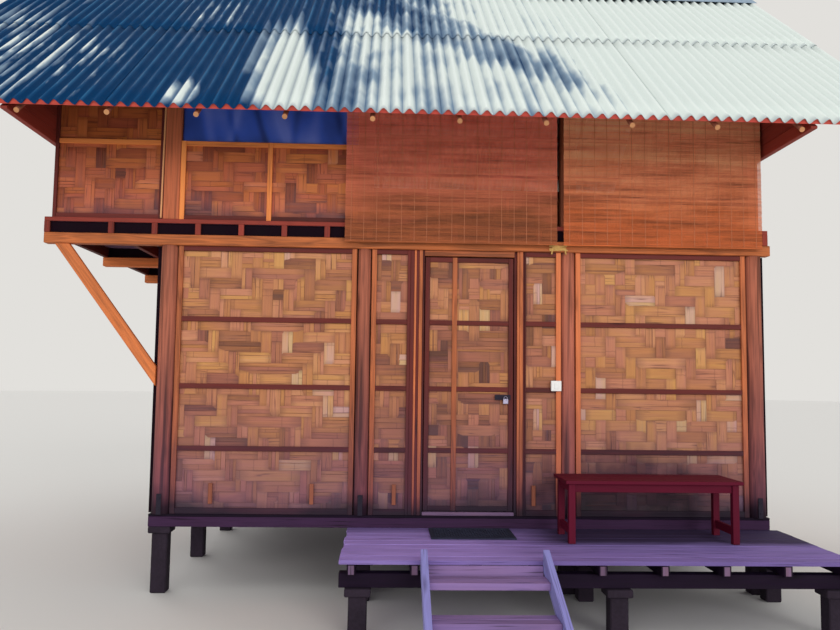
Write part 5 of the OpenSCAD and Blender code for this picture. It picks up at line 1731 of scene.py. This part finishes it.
class STILTHOUSE_OT_bench(Operator):
    """Makes the painted bench: a plank top, four legs, aprons and low end rails"""
    bl_idname = "stilt_house.bench"
    bl_label = "Bench"

    def execute(self, context):
        s = sizes()
        lo, hi = box_of("bench")
        edge, leg, rail = s.bench_top_t, s.bench_leg_w, s.bench_apron_t
        under, apron = hi[2] - s.bench_top_t, hi[2] - s.bench_top_t - s.bench_apron_h
        tops, legs, rails = Batch(), Batch(), Batch()
        step, seam = (hi[1] - lo[1]) / BENCH_PLANKS, 0.001
        for k in range(BENCH_PLANKS):
            y = lo[1] + k * step
            tops.box((lo[0], y + seam, under), (hi[0], y + step - seam, hi[2]), 0)
        inside = edge + (leg - rail) / 2
        for x in (lo[0] + edge, hi[0] - edge - leg):
            for y in (lo[1] + edge, hi[1] - edge - leg):
                legs.box((x, y, lo[2]), (x + leg, y + leg, under), 2)
        for y in (lo[1] + inside, hi[1] - inside - rail):
            rails.box((lo[0] + edge + leg, y, apron), (hi[0] - edge - leg, y + rail, under), 0)
        for x in (lo[0] + inside, hi[0] - inside - rail):
            for z0, z1 in ((apron, under), (lo[2] + s.bench_low_h, lo[2] + 2 * s.bench_low_h)):
                rails.box((x, lo[1] + edge + leg, z0), (x + rail, hi[1] - edge - leg, z1), 1)
        parts = Parts(341)
        tops.into(parts, board_blank(5, 2), bevel=0.004)
        legs.into(parts, board_blank(3, 2), bevel=0.003)
        rails.into(parts)
        parts.make("painted_bench", "bench_paint", "bench_paint", ["bench"])
        return {"FINISHED"}


class STILTHOUSE_OT_doormat(Operator):
    """Makes the rubber doormat: a frame round a field of short bars"""
    bl_idname = "stilt_house.doormat"
    bl_label = "Doormat"

    def execute(self, context):
        lo, hi = box_of("doormat")
        edge, back = 0.03, lo[2] + 0.004
        rim, field = Batch(), Batch()
        rim.box(lo, (hi[0], hi[1], lo[2] + 0.005), 0)
        for y in (lo[1], hi[1] - edge):
            rim.box((lo[0], y, back), (hi[0], y + edge, hi[2]), 0)
        for x in (lo[0], hi[0] - edge):
            rim.box((x, lo[1] + edge, back), (x + edge, hi[1] - edge, hi[2] - 0.0005), 1)
        wide = (hi[0] - lo[0] - 2 * edge) / MAT_COLUMNS
        deep = (hi[1] - lo[1] - 2 * edge) / MAT_ROWS
        for k in range(MAT_COLUMNS):
            for m in range(MAT_ROWS):
                x = lo[0] + edge + (k + 0.5) * wide
                y = lo[1] + edge + (m + 0.5) * deep
                grain = 1 - (k + m) % 2
                half_x, half_y = (0.16 * wide, 0.42 * deep) if grain else (0.42 * wide, 0.16 * deep)
                field.box((x - half_x, y - half_y, back), (x + half_x, y + half_y, hi[2] - 0.001), grain)
        parts = Parts(351)
        rim.into(parts, BOARD)
        field.into(parts, BOARD, bevel=0.001)
        parts.make("ribbed_doormat", "mat_rubber", "mat_rubber", ["doormat"])
        return {"FINISHED"}


class STILTHOUSE_OT_stage(Operator):
    """Makes the pale floor, the soft lights and the camera at the photograph's viewpoint"""
    bl_idname = "stilt_house.stage"
    bl_label = "Floor, lights and camera"

    def execute(self, context):
        scene = bpy.context.scene
        scene.view_settings.view_transform = "Standard"
        self.floor(scene)
        self.sky(scene)
        self.suns(scene)
        self.camera(scene)
        return {"FINISHED"}

    def floor(self, scene):
        """A wide disc on the ground."""
        disc = bmesh.new()
        bmesh.ops.create_circle(disc, cap_ends=True, segments=96, radius=90)
        piece = from_bmesh("studio_floor", disc)
        if piece.data.polygons[0].normal.z < 0:
            piece.data.flip_normals()
        scene.collection.objects.link(piece)
        f = Finish("studio_floor", 0.9, specular=0.1)
        piece.data.materials.append(f.done(tuple(colours().stage)))

    def sky(self, scene):
        """An even white light; seen directly, mirrored or through glass, it has the floor's colour."""
        scene.world = scene.world or bpy.data.worlds.new("studio")
        scene.world.use_nodes = True
        world = Nodes(scene.world.node_tree)
        world.tree.nodes.clear()
        shown = world.node("Background", {"Color": colours().stage, "Strength": 1.0})
        soft = world.node("Background", {"Color": (1.0, 1.0, 1.0), "Strength": sizes().sky_strength})
        path = world.node("LightPath").outputs
        seen = world.most(world.most(path["Is Camera Ray"], path["Is Glossy Ray"]),
                          path["Is Transmission Ray"])
        either = world.node("MixShader", {0: seen, 1: soft.outputs[0], 2: shown.outputs[0]})
        world.node("OutputWorld", {"Surface": either.outputs[0]})

    def suns(self, scene):
        """Three soft suns: their turns and how wide they look are in degrees."""
        s = sizes()
        for name, turn, power, spread in (("key", (75, 0, 22), s.key_strength, 28),
                                          ("fill", (86, 0, -18), s.fill_strength, 40),
                                          ("back", (52, 0, 205), s.back_strength, 40)):
            lamp = bpy.data.lights.new(name, "SUN")
            lamp.energy = power
            lamp.angle = math.radians(spread)
            held = bpy.data.objects.new(name, lamp)
            held.rotation_euler = [math.radians(a) for a in turn]
            scene.collection.objects.link(held)

    def camera(self, scene):
        """A camera that looks along its yaw and pitch, turned by its roll."""
        s = sizes()
        lens = bpy.data.cameras.new("photo_camera")
        lens.sensor_width = 36
        lens.lens = s.focal_px * lens.sensor_width / PHOTO_WIDTH
        held = bpy.data.objects.new("photo_camera", lens)
        yaw, pitch, roll = s.camera_yaw, s.camera_pitch, s.camera_roll
        ahead = Vector((math.sin(yaw) * math.cos(pitch), math.cos(yaw) * math.cos(pitch),
                        math.sin(pitch)))
        right = Vector((math.cos(yaw), -math.sin(yaw), 0))
        up = right.cross(ahead)
        rolled = math.cos(roll) * right + math.sin(roll) * up
        tall = rolled.cross(ahead)
        turn = Matrix((rolled, tall, -ahead)).transposed()
        held.matrix_world = Matrix.Translation(s.camera_place) @ turn.to_4x4()
        lens.clip_end = 400
        scene.collection.objects.link(held)
        scene.camera = held


def metres(name, default, description):
    """A length property."""
    return FloatProperty(name=name, description=description, default=default, unit="LENGTH")


def turned(name, degrees, description):
    """An angle property, given in degrees and kept in radians."""
    return FloatProperty(name=name, description=description, default=math.radians(degrees),
                         subtype="ANGLE")


def colour(name, red, green, blue, description):
    """A colour property given as it is seen, from 0 to 255, and kept as light."""
    seen = [v / 255 for v in (red, green, blue)]
    light = [v / 12.92 if v <= 0.04045 else ((v + 0.055) / 1.055) ** 2.4 for v in seen]
    return FloatVectorProperty(name=name, description=description, default=light, subtype="COLOR",
                               min=0, max=1)


class HouseSizes(PropertyGroup):
    """Sizes that the frame's boxes don't give."""
    roof_pitch: turned("Roof pitch", 38.7, "Slope of the roof")
    seat: metres("Seat", 0.0003, "Clearance between pieces that rest on each other")
    pier_w: metres("Pier side", 0.125, "Side of a concrete pier under its cap")
    pier_cap_h: metres("Cap height", 0.055, "Height of a pier's cap")
    log_taper: metres("Log taper", 0.010, "Loss of diameter of a log from foot to top")
    mat_t: metres("Mat thickness", 0.008, "Thickness of the woven mats")
    slat_t: metres("Slat thickness", 0.0018, "Thickness of a bamboo slat")
    strip_w: metres("Strip width", 0.086, "Width of a woven strip of slats")
    batten_t: metres("Batten thickness", 0.022, "Thickness of the battens outside the mats")
    stile_w: metres("Stile width", 0.040, "Width of the upright battens")
    rail_w: metres("Rail width", 0.040, "Width of the level battens")
    foot_rail_w: metres("Foot rail", 0.048, "Height of the lowest batten of a wall")
    stud_d: metres("Stud depth", 0.040, "Depth of the studs inside the mats")
    low_rail_up: metres("Low rail", 0.505, "Height of the first level batten above the floor")
    middle_rail_up: metres("Middle rail", 1.010, "Height of the second level batten")
    high_rail_up: metres("High rail", 1.560, "Height of the third level batten")
    window_sill_h: metres("Window sill", 0.669, "Height of the window sill above the upper floor")
    mullion_in: metres("Mullion", 0.228, "Distance from the leaf's hinged edge to its mullion")
    hinge_plate_t: metres("Plate thickness", 0.003, "Thickness of the hinge and hasp plates")
    hasp_l: metres("Hasp length", 0.132, "Length of the hasp")
    hasp_h: metres("Hasp height", 0.042, "Height of the hasp")
    padlock_w: metres("Padlock side", 0.044, "Side of the padlock's body")
    brace_w: metres("Brace width", 0.095, "Width of the braces under the overhang")
    tie_h: metres("Tie height", 0.100, "Height of the gable tie beams")
    wing_t: metres("Eave board", 0.020, "Thickness of the boards that close the eaves")
    rafter_d: metres("Rafter", 0.050, "Diameter of the rafter poles")
    roof_batten_w: metres("Batten width", 0.050, "Width of the roof battens")
    roof_batten_t: metres("Batten height", 0.025, "Height of the roof battens")
    batten_end: metres("Batten end", 0.010, "Distance of the battens' ends from the verge")
    first_batten_up: metres("First batten", 0.075, "Distance from the eave to the first batten")
    roof_battens_n: IntProperty(name="Battens", description="Roof battens on a slope", default=7)
    ridge_w: metres("Ridge beam", 0.060, "Width of the ridge beam")
    course_len: metres("Lower course", 1.995, "Distance from the eave to the upper course")
    course_lap: metres("Lap", 0.140, "Overlap of the two courses")
    wave_w: metres("Wave width", 0.095, "Width of one wave of the roof sheets")
    wave_h: metres("Wave depth", 0.038, "Depth of one wave of the roof sheets")
    wave_points: IntProperty(name="Wave points", description="Faces across one wave", default=10)
    sheet_t: metres("Sheet thickness", 0.003, "Thickness of a roof sheet")
    sheet_waves: IntProperty(name="Sheet waves", description="Waves in one roof sheet", default=10)
    reed_step: metres("Reed spacing", 0.0052, "Distance from one reed of a blind to the next")
    blind_rod_d: metres("Blind rod", 0.010, "Diameter of the rod at a blind's foot")
    thread_step: metres("Thread spacing", 0.105, "Distance between a blind's warp threads")
    thread_w: metres("Thread width", 0.0028, "Width of a pair of warp threads")
    stair_rise: metres("Rise", 0.150, "Rise of the stair")
    stair_going: metres("Going", 0.345, "Going of the stair")
    stringer_h: metres("Stringer depth", 0.142, "Depth of a stringer, measured upright")
    bench_top_t: metres("Bench top", 0.026, "Thickness of the bench top")
    bench_leg_w: metres("Bench leg", 0.050, "Side of a bench leg")
    bench_apron_h: metres("Apron height", 0.062, "Height of the bench aprons")
    bench_apron_t: metres("Apron thickness", 0.024, "Thickness of aprons and rails")
    bench_low_h: metres("Bench rail", 0.060, "Height of the bench's low rails, and how far up they are")
    focal_px: FloatProperty(name="Focal length", description="In pixels of the 840 px wide photo",
                            default=805.76)
    camera_place: FloatVectorProperty(name="Camera", description="Place of the camera",
                                      default=(-0.0723, -7.9549, 1.7322), unit="LENGTH")
    camera_yaw: turned("Yaw", 2.145, "Turn of the camera to the right")
    camera_pitch: turned("Pitch", 4.602, "Tilt of the camera upwards")
    camera_roll: turned("Roll", 0.748, "Roll of the camera")
    sky_strength: FloatProperty(name="Sky", description="Strength of the even light", default=0.68)
    key_strength: FloatProperty(name="Key", description="Strength of the front light", default=0.85)
    fill_strength: FloatProperty(name="Fill", description="Strength of the low front light",
                                 default=0.95)
    back_strength: FloatProperty(name="Back", description="Strength of the back light", default=0.6)


class HouseColours(PropertyGroup):
    """Colours of the finishes, as they look in even light."""
    bamboo_dark: colour("Bamboo shadow", 92, 48, 36, "Cracks and darkest strips")
    bamboo_brown: colour("Bamboo brown", 148, 88, 60, "Brown strips")
    bamboo_tan: colour("Bamboo tan", 184, 118, 78, "Most strips")
    bamboo_light: colour("Bamboo light", 204, 144, 94, "Light strips")
    bamboo_pale: colour("Bamboo pale", 200, 158, 132, "Palest strips")
    # Filter of dirt and painted shade over the foot of the walls
    foot_dirt_and_shade: colour("Foot of the walls", 152, 132, 196, "What dims the weathered foot of the walls")
    bench_shade: colour("Behind the bench", 124, 92, 142, "What dims the wall behind the bench")
    # Near-black boards as painted shade, behind joints and between joists
    mat_core: colour("Mat core", 104, 58, 42, "What shows between the strips")
    dark_board: colour("Dark board", 22, 7, 18, "Boards in the dark, behind joints and joists")
    orange_timber: colour("Orange timber", 204, 114, 62, "Fresh planed battens and beams")
    # Darker than the orange timber: painted shade on the lower walls' battens and door frame
    batten_timber: colour("Batten timber", 190, 106, 64, "Upright battens of the lower walls")
    post_timber: colour("Post timber", 168, 90, 58, "Posts of the upper storey")
    brown_timber: colour("Brown timber", 96, 66, 66, "Floor boards, threshold, deck joist ends")
    # Lighter than the orange timber: painted light on the upper front battens, against the eave's shade
    upper_timber: colour("Upper battens", 236, 138, 72, "Battens of the upper front panels")
    # Near black and violet: the sills and joists in painted shade
    sill_timber: colour("Sill timber", 50, 27, 52, "Sills and joists of the ground floor")
    # Near black: the floor's edge boards and the deck's frame in painted shade, and the band of dirt and
    # painted shade at the walls' feet
    rim_timber: colour("Rim timber", 24, 11, 30, "Edge boards, the deck's frame, stained feet")
    # A lighter red than the roof battens: painted light on the eave battens and closures, against their
    # shade
    eave_timber: colour("Eave timber", 198, 78, 66, "Battens and boards at the eaves")
    maroon_timber: colour("Maroon timber", 94, 34, 28, "Level battens, the door's frame, upper joists")
    red_timber: colour("Red timber", 136, 52, 40, "Roof beams, ties, roof battens, upper floor's edges")
    pale_wood: colour("Pale wood", 222, 158, 108, "Cut ends and the leaning stick")
    log_wood: colour("Log wood", 176, 102, 78, "Peeled logs")
    pole_wood: colour("Pole wood", 138, 78, 58, "Rafter poles and foot cleats")
    # Weathered grey, deck, stringers and treads: tinted lilac and blue as painted skylight shade
    weathered: colour("Weathered", 144, 122, 188, "Grey of weathered wood")
    deck_wood: colour("Deck wood", 126, 102, 174, "Boards of the deck")
    # Colour of the painted shade on the deck, under the bench and along the wall
    deck_shade: colour("Deck, dark", 36, 21, 54, "Boards of the deck under the bench")
    stringer_wood: colour("Stringer wood", 142, 144, 208, "Stringers of the stair")
    tread_wood: colour("Tread wood", 132, 103, 142, "Treads of the stair")
    bench_paint: colour("Bench paint", 88, 11, 36, "Dark red paint of the bench")
    # Dark concrete, darker and more violet still as painted shade
    concrete: colour("Concrete", 46, 38, 48, "Piers")
    strap_steel: colour("Strap steel", 27, 20, 36, "Foot straps, hasp and hinges")
    latch_steel: colour("Latch steel", 152, 146, 168, "Padlock")
    switch_plastic: colour("Switch", 236, 234, 230, "Light switch")
    mat_rubber: colour("Doormat", 44, 46, 62, "Rubber doormat")
    # The dark roof colour is painted shade and the crest colour a painted highlight; the pale one is the
    # sheets' own colour
    roof_shaded: colour("Roof dark", 8, 56, 98, "Roof sheets, least faded")
    roof_crest_highlight: colour("Roof crests", 48, 104, 146, "Worn crests of the least faded sheets")
    roof_green: colour("Roof green", 134, 156, 176, "Roof sheets")
    roof_pale: colour("Roof pale", 224, 232, 227, "Roof sheets, most faded")
    # The upper reed colours are lightened: painted light against the eave's shade
    reed_brown: colour("Left blind", 240, 114, 94, "Reeds of the left blind")
    reed_orange: colour("Right blind", 255, 152, 112, "Reeds of the right blind")
    reed_olive: colour("Left blind, low", 152, 82, 45, "Lower reeds of the left blind")
    reed_tan: colour("Right blind, low", 180, 92, 46, "Lower reeds of the right blind")
    thread: colour("Blind thread", 206, 134, 98, "Warp threads of the blinds")
    cord: colour("Cord", 206, 164, 98, "Cord knotted on the beam")
    tarp_blue: colour("Tarp", 60, 96, 204, "Tarp in the window opening")
    stage: colour("Stage", 226, 224, 220, "Floor and background")


class STILTHOUSE_PT_panel(Panel):
    """Lists the operators that make the house"""
    bl_label = "Stilt house"
    bl_space_type = "VIEW_3D"
    bl_region_type = "UI"
    bl_category = "Stilt house"

    def draw(self, context):
        for maker in MAKERS:
            self.layout.operator(maker.bl_idname)


# The operators in the order in which the script runs them
MAKERS = (STILTHOUSE_OT_stage, STILTHOUSE_OT_piers, STILTHOUSE_OT_ground, STILTHOUSE_OT_logs,
          STILTHOUSE_OT_front_walls, STILTHOUSE_OT_side_walls, STILTHOUSE_OT_door,
          STILTHOUSE_OT_fittings, STILTHOUSE_OT_upper_floor, STILTHOUSE_OT_upper_posts,
          STILTHOUSE_OT_roof_frame, STILTHOUSE_OT_roof, STILTHOUSE_OT_upper_walls,
          STILTHOUSE_OT_tarp, STILTHOUSE_OT_blinds, STILTHOUSE_OT_deck, STILTHOUSE_OT_stair,
          STILTHOUSE_OT_bench, STILTHOUSE_OT_doormat)
CLASSES = (HouseSizes, HouseColours, *MAKERS, STILTHOUSE_PT_panel)


def register():
    for kind in CLASSES:
        bpy.utils.register_class(kind)
    bpy.types.Scene.stilt_house_sizes = PointerProperty(type=HouseSizes)
    bpy.types.Scene.stilt_house_colours = PointerProperty(type=HouseColours)


def unregister():
    del bpy.types.Scene.stilt_house_colours
    del bpy.types.Scene.stilt_house_sizes
    for kind in reversed(CLASSES):
        bpy.utils.unregister_class(kind)


def main():
    register()
    for maker in MAKERS:
        group, name = maker.bl_idname.split(".")
        getattr(getattr(bpy.ops, group), name)()


if __name__ == "__main__":
    main()
